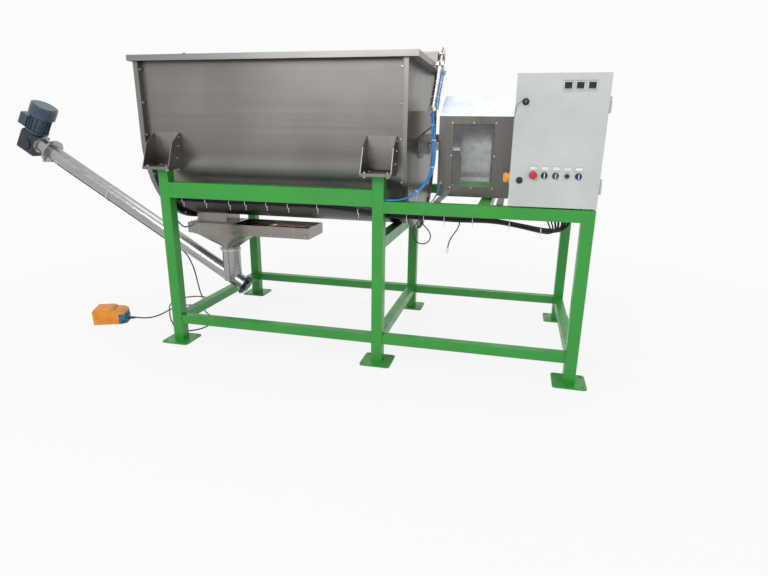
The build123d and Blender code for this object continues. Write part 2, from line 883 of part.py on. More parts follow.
def make_shaft_bearings():
    """Flanged bearing housings outside both trough ends, each with its seal ring in the wall."""
    parts = []
    for side in (-1, 1):
        face = trough_x0 - end_plate if side < 0 else trough_x1 + end_plate
        along = (side, 0, 0)
        housing = rod((face, 0, axis_z), along, bearing_r, bearing_flange)
        housing += rod((face, 0, axis_z), along, bearing_r * 0.72, bearing_length)
        bore = rod((face - side, 0, axis_z), along, shaft_r + running_gap, bearing_length + 5)
        parts.append(housing - bore)
        inner = trough_x0 if side < 0 else trough_x1
        ring = rod((inner - side * (seal_length - end_plate), 0, axis_z), along, seal_r, seal_length)
        parts.append(ring - rod((inner - side * 40, 0, axis_z), along, shaft_r + running_gap, 80))
    return parts


# Drive

def gearbox_x1():
    return gearbox_x0 + gearbox_width


def make_drive_gearbox():
    """A right-angle gearbox on the shaft: a cast housing with a round head and foot, and covers."""
    half = gearbox_depth / 2
    top_r = half
    with BuildSketch(Plane.YZ) as view:
        with Locations((0, axis_z)):
            Circle(top_r)
        with Locations((0, axis_z - gearbox_drop + half * 0.75)):
            Circle(half * 0.75)
        make_hull()
        with Locations((0, drive_floor_z + drive_floor_sheet + 12)):
            Rectangle(2 * half - 10, 24)
    body = Pos(gearbox_x0, 0, 0) * extrude(view.sketch, gearbox_width)
    body += rod((gearbox_x0 - 14, 0, axis_z), (1, 0, 0), coupling_r, 16)
    body += rod((gearbox_x1() - 2, 0, axis_z), (1, 0, 0), coupling_r, 12)
    mid_x = (gearbox_x0 + gearbox_x1()) / 2
    body += rod((mid_x, 40, motor_z()), (0, 1, 0), motor_r - 20, motor_start() - 40)
    for z in (axis_z - 60, axis_z + 10, axis_z + 60):
        body += block(gearbox_x0 + 8, gearbox_x1() - 8, -half - 4, half + 4, z - 4, z + 4) \
            & rod((gearbox_x0, 0, axis_z), (1, 0, 0), half + 6, gearbox_width)
    return body - rod((gearbox_x0 - 30, 0, axis_z), (1, 0, 0), shaft_r + running_gap, gearbox_width + 60)


def motor_z():
    return axis_z - gearbox_drop + motor_r + 15


def motor_start():
    return gearbox_depth / 2 + 6


def make_drive_motor():
    """The motor lies across the machine behind the gearbox: body with ribs, fan cover and terminal box."""
    x = (gearbox_x0 + gearbox_x1()) / 2
    y0 = motor_start()
    z = motor_z()
    motor = rod((x, y0, z), (0, 1, 0), motor_r * 0.9, motor_length)
    motor += rod((x, y0, z), (0, 1, 0), motor_r, 14)
    for i in range(16):
        a = math.radians(22.5 * i + 11.25)
        fin = Box(motor_r * 0.2, motor_length - fan_cover_length - 40, 5)
        motor += Pos(x + math.cos(a) * motor_r * 0.92, y0 + (motor_length - fan_cover_length) / 2,
                     z + math.sin(a) * motor_r * 0.92) * Rot(0, -math.degrees(a), 0) * fin
    motor += rod((x, y0 + motor_length - fan_cover_length, z), (0, 1, 0), motor_r, fan_cover_length)
    return motor + block(x - 50, x + 50, y0 + 70, y0 + 170, z + motor_r * 0.8, z + motor_r + 45)


def make_drive_support():
    """A pedestal on the cross rail that carries the gearbox: top plate, webs and a foot."""
    x0 = gearbox_x0 - 20
    x1 = gearbox_x1() + 25
    half = 130.0
    z1 = drive_floor_z + drive_floor_sheet
    support = block(x0, x1, -half, half, drive_floor_z, z1)
    foot0 = drive_cross_x - cross_rail_size / 2
    foot1 = drive_cross_x + cross_rail_size / 2
    support += block(foot0 - 20, foot1 + 20, -half, half, drive_rail_top, drive_rail_top + 8)
    with BuildSketch(Plane.XZ) as web:
        with BuildLine():
            Polyline((foot0 - 15, drive_rail_top + 8), (x0 + 10, drive_floor_z - 25),
                     (x0 + 10, drive_floor_z), (x1, drive_floor_z), (foot1 + 10, drive_rail_top + 8),
                     (foot0 - 15, drive_rail_top + 8))
        make_face()
    for y in (-half + 30, half - 30):
        support += Pos(0, y + 4, 0) * extrude(web.sketch, 8)
    return support


def guard_profile(inset):
    """The guard's outline from the side: upright walls and a roof that slopes to both sides."""
    front = -guard_half + inset
    rear = guard_rear - inset
    eave = guard_z1 - inset / 2
    with BuildSketch(Plane.YZ) as view:
        with BuildLine():
            Polyline((front, guard_z0), (front, eave), (guard_ridge_front, guard_top - inset),
                     (guard_ridge_rear, guard_top - inset), (rear, eave), (rear, guard_z0),
                     (front, guard_z0))
        make_face()
    return view.sketch


def make_guard_housing():
    """A housing welded from flat sheets over the drive: open below, with a window opening in the front."""
    s = guard_sheet
    x0 = guard_x0 + s
    x1 = guard_x1 - s
    ring = Pos(x0, 0, 0) * extrude(guard_profile(0), x1 - x0)
    ring -= Pos(x0, 0, 0) * extrude(guard_profile(s), x1 - x0)
    folds = [-guard_half, -guard_half + s, guard_ridge_front, guard_ridge_rear, guard_rear - s, guard_rear]
    panels = [ring & block(x0, x1, y0, y1, guard_z0, guard_top) for y0, y1 in zip(folds, folds[1:])]
    panels[0] -= block(window_x0, window_x1, -guard_half - s, -guard_half + 2 * s, window_z0, window_z1)
    left_end = Pos(guard_x0, 0, 0) * extrude(guard_profile(0), s)
    panels.append(left_end - rod((guard_x0 - s, 0, axis_z), (1, 0, 0), shaft_r + 12, 3 * s))
    panels.append(Pos(x1, 0, 0) * extrude(guard_profile(0), s))
    for edge, inward in ((-guard_half, 1), (guard_rear, -1)):
        y0, y1 = sorted((edge + inward * s, edge + inward * guard_flange))
        panels.append(block(x0, x1, y0, y1, guard_z0, guard_z0 + s))
    panels.append(block(trough_x1 + end_plate + mount_plate, guard_x0 + 30, -guard_half - 6, -guard_half,
                        tie_bar_z0, tie_bar_z1))
    return panels + make_guard_feet()


def make_guard_feet():
    """Flat bars under the guard's edges, each on a stub that stands on the rail."""
    feet = []
    rail_in = half_width() - leg_size
    bar_z = guard_z0 - guard_foot_sheet
    for x in (guard_x0 + 20, guard_x1 - 20 - guard_foot):
        for side, edge in ((-1, guard_half), (1, guard_rear)):
            y0, y1 = sorted((side * (rail_in + guard_foot), side * (edge - guard_flange)))
            feet.append(block(x, x + guard_foot, y0, y1, bar_z, guard_z0))
            y0, y1 = sorted((side * rail_in, side * (rail_in + guard_foot)))
            feet.append(block(x, x + guard_foot, y0, y1, drive_rail_top, bar_z))
    return feet


def make_guard_window():
    """A clear pane that laps over the opening from inside."""
    y1 = -guard_half + guard_sheet + window_sheet
    return block(window_x0 - window_lap, window_x1 + window_lap, -guard_half + guard_sheet, y1,
                 window_z0 - window_lap, window_z1 + window_lap)


def window_screw_spots():
    xs = (window_x0 - 8, (window_x0 + window_x1) / 2, window_x1 + 8)
    zs = (window_z0 - 8, (window_z0 + window_z1) / 2, window_z1 + 8)
    return [(x, z) for x in xs for z in zs if not (x == xs[1] and z == zs[1])]


def make_cover_screws():
    """Button head screws of the guard window and of the gate frame."""
    screws = []
    for x, z in window_screw_spots():
        screws.append(rod((x, -guard_half - 2.5, z), (0, 1, 0), 5, 2.5))
    for x, z in gate_screw_spots():
        for side in (-1, 1):
            screws.append(rod((x, side * (gate_half + 2), z), (0, -side, 0), 4.5, 2))
    return screws


# Control cabinet

def make_cabinet_body():
    """A welded wall box that is open to the front, with a folded edge, a mounting plate and short feet."""
    front = -cabinet_front + door_thick + door_gap
    back = front + cabinet_depth
    w = cabinet_wall
    x0, x1 = cabinet_x0, cabinet_x1
    z0, z1 = cabinet_z0, cabinet_z1
    left = block(x0, x0 + w, front, back - w, z0, z1)
    parts = [left - rod((x0 - 1, switch_y, switch_z), (1, 0, 0), 9, 10)]
    parts.append(block(x1 - w, x1, front, back - w, z0, z1))
    parts.append(block(x0, x1, back - w, back, z0, z1))
    for z in (z0, z1 - w):
        parts.append(block(x0 + w, x1 - w, front, back - w, z, z + w))
    for z in (z0 + w, z1 - w - cabinet_edge):
        parts.append(block(x0 + w, x1 - w, front, front + w, z, z + cabinet_edge))
    for x in (x0 + w, x1 - w - cabinet_edge):
        parts.append(block(x, x + cabinet_edge, front, front + w, z0 + w + cabinet_edge,
                           z1 - w - cabinet_edge))
    for x in (x0 + 30, x1 - 70):
        parts.append(block(x, x + 40, front + 5, -half_width() + leg_size, drive_rail_top, z0))
    inset = mounting_plate_inset
    plate_y = back - w - mounting_plate_gap
    parts.append(block(x0 + inset, x1 - inset, plate_y - mounting_plate_sheet, plate_y, z0 + inset,
                       z1 - inset))
    for x in (x0 + 60, x1 - 60):
        for z in (z0 + 60, z1 - 60):
            parts.append(rod((x, plate_y, z), (0, 1, 0), 6, mounting_plate_gap))
    for z in door_hinge_heights():
        half = door_hinge_length / 2
        pin = rod((door_axis_x(), door_axis_y(), z - half), (0, 0, 1), door_hinge_pin_r, 2.8 * half)
        parts.append(hinge_half(z, half) + pin)
    return parts


def door_axis_x():
    return cabinet_x1 + door_hinge_r + 1


def door_axis_y():
    return -cabinet_front + door_thick


def door_hinge_heights():
    return [cabinet_z0 + 110, cabinet_z1 - 110 - door_hinge_length]


def hinge_half(z, length):
    """A round hinge knuckle with its leaf on the cabinet's side."""
    x, y = door_axis_x(), door_axis_y()
    knuckle = rod((x, y, z - length), (0, 0, 1), door_hinge_r, length)
    leaf = block(cabinet_x1, cabinet_x1 + 3, y + 2, y + 24, z - length, z)
    leaf += block(cabinet_x1, x, y + 3, y + door_hinge_r, z - length, z)
    return knuckle + leaf


def make_cabinet_door():
    """A pan door with folded edges, holes for the controls, and its half of each hinge."""
    y0 = -cabinet_front
    y1 = y0 + door_thick
    door = block(cabinet_x0, cabinet_x1, y0, y1, cabinet_z0, cabinet_z1)
    s = door_skin
    door -= block(cabinet_x0 + s, cabinet_x1 - s, y0 + s, y1 + 1, cabinet_z0 + s, cabinet_z1 - s)
    door = fillet(door.edges().group_by(Axis.Y)[0], 1.5)
    for x in control_places():
        door -= rod((x, y0 - 5, control_z), (0, 1, 0), panel_hole_r, 30)
    for z in (upper_lock_z, lower_lock_z):
        door -= rod((lock_x, y0 - 5, z), (0, 1, 0), panel_hole_r, 30)
    for x in meter_places():
        half = meter_size / 2 - 2
        door -= block(x - half, x + half, y0 - 5, y1 + 5, meter_z - half, meter_z + half)
    for z in door_hinge_heights():
        x, y = door_axis_x(), door_axis_y()
        top = z + door_hinge_length / 2
        knuckle = rod((x, y, z + 0.5), (0, 0, 1), door_hinge_r, door_hinge_length / 2)
        knuckle += block(cabinet_x1 - 1, x, y - door_hinge_r, y - 2, z + 0.5, top)
        door += knuckle
        door -= rod((x, y, z - 5), (0, 0, 1), door_hinge_pin_r + 0.06, door_hinge_length + 60)
    return door


def control_places():
    """The stop button and four more controls in one row."""
    return [stop_x + i * control_pitch for i in range(5)]


def meter_places():
    return [meter_x + i * meter_pitch for i in range(3)]


def make_door_lock(z):
    """A quarter-turn lock: round body through the door and a cam behind it."""
    y0 = -cabinet_front
    lock = rod((lock_x, y0 - 7, z), (0, 1, 0), lock_r, 7)
    lock -= block(lock_x - 1.5, lock_x + 1.5, y0 - 8, y0 - 3, z - 6, z + 6)
    cam_y = y0 + door_thick + door_gap + cabinet_wall + 1
    lock += rod((lock_x, y0, z), (0, 1, 0), stem_r, cam_y + 6 - y0)
    return lock + block(lock_x - 9, lock_x + 9, cam_y, cam_y + 3, z - 10, z + lock_cam)


def make_panel_meters():
    meters = []
    y0 = -cabinet_front
    for x in meter_places():
        half = meter_size / 2
        face = block(x - half, x + half, y0 - 4, y0, meter_z - half, meter_z + half)
        inner = half - 2.5
        face += block(x - inner, x + inner, y0, y0 + 40, meter_z - inner, meter_z + inner)
        meters.append(face - block(x - half + 6, x + half - 6, y0 - 5, y0 - 2.5, meter_z - 10, meter_z + 14))
    return meters


def make_emergency_stop():
    """A mushroom head on its stem, over a collar."""
    y0 = -cabinet_front
    x = stop_x
    with BuildSketch(Plane.XY) as view:
        with BuildLine():
            Polyline((0, 0), (0, -30), (stop_r * 0.55, -30))
            ThreePointArc((stop_r * 0.55, -30), (stop_r * 0.93, -26.5), (stop_r, -21))
            Polyline((stop_r, -21), (stop_r, -17), (stop_r * 0.6, -12), (stem_r, -12), (stem_r, 22),
                     (0, 22), (0, 0))
        make_face()
    head = revolve(view.sketch, Axis.Y)
    return Pos(x, y0, control_z) * head


def make_selector(index):
    """A knob with a raised grip bar, on a stem through the door."""
    y0 = -cabinet_front
    x = control_places()[index]
    knob = rod((x, y0 - 8, control_z), (0, 1, 0), control_r, 8)
    knob += block(x - 4, x + 4, y0 - 20, y0 - 8, control_z - control_r + 1.5, control_z + control_r - 1.5)
    return knob + rod((x, y0, control_z), (0, 1, 0), stem_r, 22)


def make_push_button():
    y0 = -cabinet_front
    x = control_places()[3]
    button = rod((x, y0 - 10, control_z), (0, 1, 0), control_r - 3, 4)
    button += rod((x, y0 - 10, control_z), (0, 1, 0), stem_r, 36)
    return button


def make_main_switch_base():
    """A square plate on the cabinet's left wall."""
    half = switch_base / 2
    plate = block(cabinet_x0 - 5, cabinet_x0, switch_y - half, switch_y + half, switch_z - half,
                  switch_z + half)
    plate += rod((cabinet_x0 - 9, switch_y, switch_z), (1, 0, 0), switch_handle_r + 4, 5)
    return plate - rod((cabinet_x0 - 12, switch_y, switch_z), (1, 0, 0), 8.06, 20)


def make_main_switch_handle():
    """A rotary handle with a grip bar, on a shaft into the cabinet."""
    x = cabinet_x0 - 9.3
    handle = rod((x, switch_y, switch_z), (-1, 0, 0), switch_handle_r, 8)
    handle += block(x - 26, x - 8, switch_y - 6, switch_y + 6, switch_z - 27, switch_z + 27) \
        & rod((x, switch_y, switch_z), (-1, 0, 0), 27, 30)
    return handle + rod((x, switch_y, switch_z), (1, 0, 0), 8, 40)


# Outlet, gate and hopper

def make_outlet_duct():
    """A rectangular duct from the trough floor down to the gate, with a foot flange."""
    duct = block(duct_x0, duct_x1, -duct_half, duct_half, gate_top, axis_z - trough_radius + 40)
    flange = block(gate_x0 + 10, duct_x1 + 22, -duct_half - 22, duct_half + 22, gate_top, gate_top + 5)
    duct += flange
    duct -= block(duct_x0 + duct_wall, duct_x1 - duct_wall, -duct_half + duct_wall, duct_half - duct_wall,
                  gate_top - 1, axis_z)
    return duct - u_solid(0, rim_top, trough_x0 - 10, trough_x1)


def gate_bottom():
    return gate_top - gate_height


def gate_screw_spots():
    """Two rows of screws along the gate's sides, closer together near the outlet."""
    spots = []
    for step in (0.03, 0.1, 0.26, 0.42, 0.52, 0.7, 0.88, 0.97):
        x = gate_x0 + step * (gate_x1 - gate_x0)
        spots += [(x, gate_bottom() + 18), (x, gate_top - 18)]
    return spots


def make_gate_frame():
    """Side plates, a deck with the passage, cross plates and the guide strips' seats."""
    s = gate_sheet
    frame = Part()
    for side in (-1, 1):
        y0, y1 = sorted((side * gate_half, side * (gate_half - s)))
        frame += block(gate_x0, gate_x1, y0, y1, gate_bottom(), gate_top)
    inner = gate_half - s
    frame += block(gate_x0, gate_x0 + s, -inner, inner, gate_bottom(), gate_top)
    frame += block(gate_x1 - s, gate_x1, -inner, inner, gate_bottom(), gate_top)
    deck_x1 = duct_x1 + 60
    frame += block(gate_x0 + s, deck_x1, -inner, inner, gate_top - s, gate_top)
    frame += block(gate_x0 + s, deck_x1, -inner, inner, gate_bottom(), gate_bottom() + s)
    hole = block(duct_x0 + duct_wall, duct_x1 - duct_wall, -duct_half + duct_wall, duct_half - duct_wall,
                 gate_bottom() - 1, gate_top + 1)
    frame -= hole
    for side in (-1, 1):
        y0, y1 = sorted((side * inner, side * (inner - guide_width)))
        strip = block(gate_x0 + s, gate_x1 - s, y0, y1, blade_z - guide_height / 2 + blade_thick / 2,
                      blade_z + guide_height / 2 + blade_thick / 2)
        slot0, slot1 = sorted((side * (blade_half + blade_play), side * (inner - guide_width - 1)))
        frame += strip - block(gate_x0 + s, gate_x1 - s, min(slot0, slot1), max(slot0, slot1),
                               blade_z - blade_play, blade_z + blade_thick + blade_play)
    return frame


def make_gate_blade():
    """The sliding plate with its rod lug, and the piston rod."""
    x0 = gate_x0 + gate_sheet + 4
    x1 = duct_x1 + 12
    blade = block(x0, x1, -blade_half, blade_half, blade_z, blade_z + blade_thick)
    blade += block(x1 - 6, x1, -30, 30, blade_z - 20, blade_z + blade_thick + 20)
    rod_end = gate_x1 - gate_sheet - 8 - gate_barrel_length + 60
    blade += rod((x1 - 3, 0, blade_z + blade_thick / 2), (1, 0, 0), gate_rod_r, rod_end - x1)
    return blade


def make_gate_cylinder():
    """An air cylinder between the side plates, fixed to the far cross plate."""
    z = blade_z + blade_thick / 2
    x0 = gate_x1 - gate_sheet - gate_barrel_length
    body = rod((x0, 0, z), (1, 0, 0), gate_barrel_r, gate_barrel_length)
    for x in (x0, x0 + gate_barrel_length - 30):
        half = gate_barrel_r + 3
        body += block(x, x + 30, -half, half, z - half, z + half)
    bore = rod((x0 - 1, 0, z), (1, 0, 0), gate_rod_r + 0.5, gate_barrel_length - 12)
    return body - bore


def make_hopper():
    """A transition from the gate's rectangle to a round spigot, with a flange under the gate."""
    top = gate_bottom()
    rect_x = (duct_x0 + hopper_x1) / 2
    rect_w = hopper_x1 - duct_x0
    outer = hopper_loft(rect_x, rect_w, 2 * hopper_half, pipe_r, top - hopper_flange, hopper_bottom)
    inner = hopper_loft(rect_x, rect_w - 2 * hopper_wall, 2 * (hopper_half - hopper_wall),
                        pipe_r - hopper_wall, top - hopper_flange, hopper_bottom)
    plate = block(duct_x0 - 16, hopper_x1 + 16, -gate_half + 2, gate_half - 2, top - hopper_flange, top)
    plate -= block(duct_x0 + hopper_wall, hopper_x1 - hopper_wall, -hopper_half + hopper_wall,
                   hopper_half - hopper_wall, top - hopper_flange - 1, top + 1)
    spigot = tube((pipe_x, 0, clamp_z), (0, 0, 1), pipe_r, pipe_r - hopper_wall, hopper_bottom - clamp_z)
    return (outer - inner) + plate + spigot


def hopper_loft(rect_x, width, depth, radius, top, bottom):
    upper = Pos(rect_x, 0, top) * Rectangle(width, depth)
    lower = Pos(pipe_x, 0, bottom) * Circle(radius)
    return loft([upper, lower], ruled=True)


def make_clamp_ring():
    """A band clamp over the joint of the spigot and the conveyor's inlet pipe."""
    z0 = clamp_z - clamp_height / 2
    ring = tube((pipe_x, 0, z0), (0, 0, 1), pipe_r + clamp_thick, pipe_r, clamp_height)
    ears = block(pipe_x - pipe_r - 26, pipe_x - pipe_r - 2, -9, 9, z0, z0 + clamp_height)
    return ring + ears - rod((pipe_x, 0, z0 - 1), (0, 0, 1), pipe_r, clamp_height + 2)


# Screw conveyor: s runs up the tube from its tail, n is square to the tube and upwards

def screw_axis():
    a = math.radians(screw_angle)
    return -math.cos(a), 0.0, math.sin(a)


def screw_normal():
    a = math.radians(screw_angle)
    return math.sin(a), 0.0, math.cos(a)


def on_screw(s, n=0.0, y=0.0):
    u = screw_axis()
    m = screw_normal()
    return tail_x + u[0] * s + m[0] * n, y, tail_z + u[2] * s + m[2] * n


def along_screw(s, radius, length):
    return rod(on_screw(s), screw_axis(), radius, length)


def screw_plane(s, n=0.0):
    """A plane across the tube, with its x along the machine's y and its y along n."""
    return Plane(origin=on_screw(s, n), x_dir=(0, 1, 0), z_dir=screw_axis())


def conduit_n():
    """How far the cable conduit lies below the tube's axis."""
    return tube_r + conduit_r - 1


def make_conveyor_tube():
    """The tube with inlet pipe and saddle, tail flange, head flanges, spout and the conduit below it."""
    total = tube_length + head_length
    body = along_screw(0, tube_r, total)
    body += along_screw(0, tail_flange_r, screw_flange)
    body += along_screw(tube_length - screw_flange, head_flange_r, screw_flange)
    body += along_screw(tube_length, head_flange_r, screw_flange)
    body += along_screw(total - screw_flange, head_end_r, screw_flange)
    body += rod(on_screw(conduit_start, -conduit_n()), screw_axis(), conduit_r, tube_length - conduit_start)
    inlet_base = tail_z + math.tan(math.radians(screw_angle)) * (tail_x - pipe_x)
    body += rod((pipe_x, 0, inlet_base - saddle_drop), (0, 0, 1), pipe_r, clamp_z - inlet_base + saddle_drop)
    spout = on_screw(tube_length + spout_back)
    body += rod(spout, (0, 0, -1), spout_r, spout_drop)
    body -= rod((pipe_x, 0, inlet_base), (0, 0, 1), pipe_r - hopper_wall, clamp_z - inlet_base + 1)
    body -= along_screw(-1, tube_r - tube_wall, total + 2)
    body -= rod(spout, (0, 0, -1), spout_r - tube_wall, spout_drop + spout_clear)
    return body


def flight_end():
    return tube_length + 30


def make_conveyor_screw():
    """A shaft with one helical flight, driven from the head."""
    total = tube_length + head_length
    shaft = along_screw(2 * screw_flange + 2, screw_shaft_r, total - 2 * screw_flange + 40)
    start = 30.0
    length = flight_end() - start
    mean = (flight_r + screw_shaft_r) / 2
    width = flight_r - screw_shaft_r + 2
    path = Helix(flight_pitch, length, mean)
    lead = math.atan2(flight_pitch, 2 * math.pi * mean)
    section_plane = Plane(origin=(mean, 0, 0), x_dir=(1, 0, 0), z_dir=(0, math.cos(lead), math.sin(lead)))
    flight = sweep(section_plane * Rectangle(width, flight_thick), path=path, is_frenet=True)
    place = Plane(origin=on_screw(start), x_dir=(0, 1, 0), z_dir=screw_axis())
    return shaft + place * flight


def make_conveyor_bearing():
    """The tail cover with its bearing boss and cap screws."""
    cover = along_screw(-screw_flange, tail_flange_r, screw_flange)
    cover += along_screw(-tail_bearing_length, tail_bearing_r, tail_bearing_length)
    for i in range(6):
        a = math.radians(60 * i + 30)
        r = tail_flange_r - 13
        base = on_screw(-screw_flange, r * math.sin(a), r * math.cos(a))
        back = [-c for c in screw_axis()]
        cover += hexagon(base, back, 13, 8)
    return cover


def make_conveyor_gearbox():
    """A worm gearbox on the conveyor's head: square body with round covers and a motor flange."""
    s0 = tube_length + head_length
    height = worm_box_up + worm_box_down
    base = screw_plane(s0 + worm_box / 2, (worm_box_up - worm_box_down) / 2)
    body = base * Box(worm_box - 10, height, worm_box)
    body = fillet(body.edges().filter_by(Axis((0, 0, 0), screw_axis())), 26)
    body += along_screw(s0 + worm_box - 1, 52, 9)
    for side in (-1, 1):
        spot = on_screw(s0 + worm_box / 2, -40, side * (worm_box / 2 - 6))
        body += rod(spot, (0, side, 0), 42, 12)
    neck = on_screw(s0 + worm_box / 2, worm_box_up - 2)
    body += rod(neck, screw_normal(), 70, 16)
    return body - along_screw(s0 - 1, screw_shaft_r + running_gap, worm_box + 30)


def make_conveyor_motor():
    """Flanged motor with cooling ribs, fan cover and a terminal box on its upper side."""
    s_mid = tube_length + head_length + worm_box / 2
    n0 = worm_box_up + 14
    m = screw_normal()
    base = on_screw(s_mid, n0)
    body_length = screw_motor_length
    motor = rod(base, m, screw_motor_r, 12)
    motor += rod(base, m, screw_motor_r - 14, body_length)
    motor_plane = Plane(origin=base, x_dir=(0, 1, 0), z_dir=m)
    for i in range(16):
        a = 22.5 * i
        motor += motor_plane * Rot(0, 0, a) * Pos(screw_motor_r - 12, 0, body_length / 2 + 6) \
            * Box(18, 4, body_length - 14)
    fan = on_screw(s_mid, n0 + body_length - 2)
    motor += rod(fan, m, screw_fan_r, screw_fan_length)
    cap = on_screw(s_mid, n0 + body_length - 4 + screw_fan_length)
    motor += rod(cap, m, screw_fan_r - 14, 8)
    box_s = s_mid + screw_motor_r - 14 + terminal_box * 0.3
    box_plane = Plane(origin=on_screw(box_s, n0 + 48), x_dir=(0, 1, 0), z_dir=screw_axis())
    return motor + box_plane * Box(terminal_box, terminal_box - 14, terminal_box * 0.62)


# Foot switch: its own frame has x along its length, from the toe opening to the cable end

def pedal_frame():
    return Pos(pedal_x, pedal_y, 0) * Rot(0, 0, pedal_turn)


def pedal_outline(inset):
    """The guard's side view: a tall hood over the treadle, stepping down to the switch housing."""
    half = pedal_length / 2 - inset
    top = pedal_height - inset
    with BuildSketch(Plane.XZ) as view:
        with BuildLine():
            Polyline((-half + 6, pedal_base_height), (-half, top - 22), (-half + 14, top), (10, top),
                     (34, top - 14), (half - 40, top - 18), (half - 14, top - 34),
                     (half - 6, pedal_base_height), (-half + 6, pedal_base_height))
        make_face()
    return view.sketch


def make_pedal_guard():
    """A thick hood, open at the toe end over the treadle."""
    half = pedal_width / 2
    hood = Pos(0, half, 0) * extrude(pedal_outline(0), pedal_width)
    cave = block(-pedal_length, 34, -half + pedal_wall * 3, half - pedal_wall * 3, 0, pedal_height - 12)
    hood -= cave
    hood -= block(-200, 200, -200, 200, -50, pedal_base_height)
    return pedal_frame() * hood


def make_pedal_base():
    """The base tray with the switch housing and the cable gland."""
    half = pedal_width / 2
    tray = block(-pedal_length / 2 + 4, pedal_length / 2 - 30, -half, half, 0, pedal_base_height)
    tray -= block(-pedal_length / 2 - 10, 30, -half + pedal_wall * 3, half - pedal_wall * 3, 8, 200)
    nose = block(pedal_length / 2 - 60, pedal_length / 2, -half + 14, half - 14, 0, pedal_base_height + 22)
    nose -= block(pedal_length / 2 - 61, pedal_length / 2 - 6, -half - 1, half + 1, pedal_base_height, 200)
    nose = chamfer(nose.edges().filter_by(Axis.Z).group_by(Axis.X)[-1], 12)
    tray += nose
    px, _, pz = treadle_pivot()
    tray += rod((px, -half + 1, pz), (0, 1, 0), treadle_pin_r, pedal_width - 2)
    tray += rod((pedal_length / 2 - 2, 0, gland_z()), (1, 0, 0), gland_r, gland_length)
    tray += hexagon((pedal_length / 2 - 2, 0, gland_z()), (1, 0, 0), 26, 9)
    return pedal_frame() * tray


def gland_z():
    return 24.0


def treadle_pivot():
    return (16.0, 0.0, 22.0)


def make_pedal_treadle():
    """The treadle plate, ribbed, with a round heel on a cross pin."""
    half = pedal_width / 2 - pedal_wall * 3 - 2
    px, _, pz = treadle_pivot()
    with BuildSketch(Plane.XZ) as view:
        with BuildLine():
            Polyline((0, 5), (-118, 5), (-118, 11), (0, 11), (0, 5))
        make_face()
        for i in range(6):
            with Locations((-108 + 18 * i, 12)):
                Rectangle(6, 4)
        with Locations((0, 2)):
            Rectangle(15, 18)
        Circle(treadle_pin_r + running_gap, mode=Mode.SUBTRACT)
    plate = Pos(0, half, 0) * extrude(view.sketch, 2 * half)
    return pedal_frame() * Pos(px, 0, pz) * Rot(0, treadle_angle, 0) * plate


# Cables and hoses

def cord_tube(points, radius, label):
    """A round tube along straight runs joined by the largest tangent arcs that the runs allow."""
    pts = [Vector(*p) for p in points]
    radii = []
    for a, b, c in zip(pts, pts[1:], pts[2:]):
        turn = math.radians((b - a).get_angle(c - b))
        short = min((b - a).length, (c - b).length)
        radii.append(0.45 * short / math.tan(turn / 2))
    path = FilletPolyline(*pts, radius=radii) if radii else Polyline(*pts)
    start = Plane(origin=pts[0], z_dir=pts[1] - pts[0])
    solid = sweep(start * Circle(radius), path=path)
    share = solid.volume / (math.pi * radius ** 2 * path.length)
    print(label, "length", round(path.length), "smallest radius", round(min(radii)) if radii else None,
          "volume share", round(share, 3))
    return solid


def pedal_exit():
    """Where the cord leaves the foot switch's gland."""
    p = pedal_frame() * Pos(pedal_length / 2 - 2 + gland_length, 0, gland_z())
    return p.position


def pedal_cord_route():
    """From the foot switch's gland, in two loops on the floor, up to the conduit under the conveyor."""
    exit_point = pedal_exit()
    turn = math.radians(pedal_turn)
    onward = exit_point + Vector(math.cos(turn), math.sin(turn), 0) * 38
    first = [(exit_point.X, exit_point.Y, exit_point.Z), (onward.X, onward.Y, onward.Z)]
    floor = cord_r + 0.5
    upper = floor + 3.2 * cord_r
    loops = [(-1852, -318, 12), (-1815, -270, floor), (-1795, -205, floor), (-1795, -135, floor),
             (-1800, -60, floor), (-1785, 15, floor), (-1740, 75, floor), (-1675, 100, floor),
             (-1610, 85, floor), (-1550, 40, floor), (-1500, -20, floor), (-1440, -75, floor),
             (-1375, -125, floor), (-1325, -185, floor), (-1292, -255, floor), (-1288, -330, floor),
             (-1305, -400, floor), (-1350, -450, floor), (-1415, -470, floor), (-1480, -445, floor),
             (-1535, -395, floor), (-1590, -335, floor), (-1650, -270, floor), (-1710, -195, floor),
             (-1762, -120, upper), (-1815, -48, upper), (-1862, 25, floor), (-1895, 100, floor),
             (-1905, 180, floor), (-1880, 260, floor), (-1820, 315, floor), (-1745, 335, floor),
             (-1672, 312, floor), (-1618, 255, floor), (-1592, 185, 9)]
    rise = [(-1583, 120, 40), (-1578, 75, 100), (-1572, 40, 168), (-1570, 18, 242), (-1574, 5, 318),
            (-1590, 0, 388)]
    low = conduit_n()
    last = [on_screw(conduit_start - 105, -low - 12), on_screw(conduit_start - 42, -low),
            on_screw(conduit_start, -low)]
    return first + loops + rise + last


def make_pedal_cord():
    return cord_tube(pedal_cord_route(), cord_r, "pedal cord")


def make_frame_cables():
    """The cable bundle that hangs in clips along the front rails, up into the cabinet."""
    y = -half_width() + leg_size + bundle_r + seat_gap
    low = beam_top - beam_height - bundle_r - 2
    right_low = drive_rail_top - drive_rail_height - bundle_r - 4
    under_beam = [(-1290, 0), (-1100, -4), (-900, -10), (-700, -2), (-500, -9), (-300, -3), (-100, -12),
                  (60, -34)]
    under_rail = [(220, -8), (400, -3), (600, -9), (800, -2), (950, -26), (1080, -50), (1175, -35),
                  (1222, 10)]
    route = [(x, y, low + z) for x, z in under_beam]
    route += [(x, y, right_low + z) for x, z in under_rail]
    route += [(1240, y + 9, right_low + 55), (1240, y + 9, cabinet_z0)]
    return cord_tube(route, bundle_r, "frame cables")


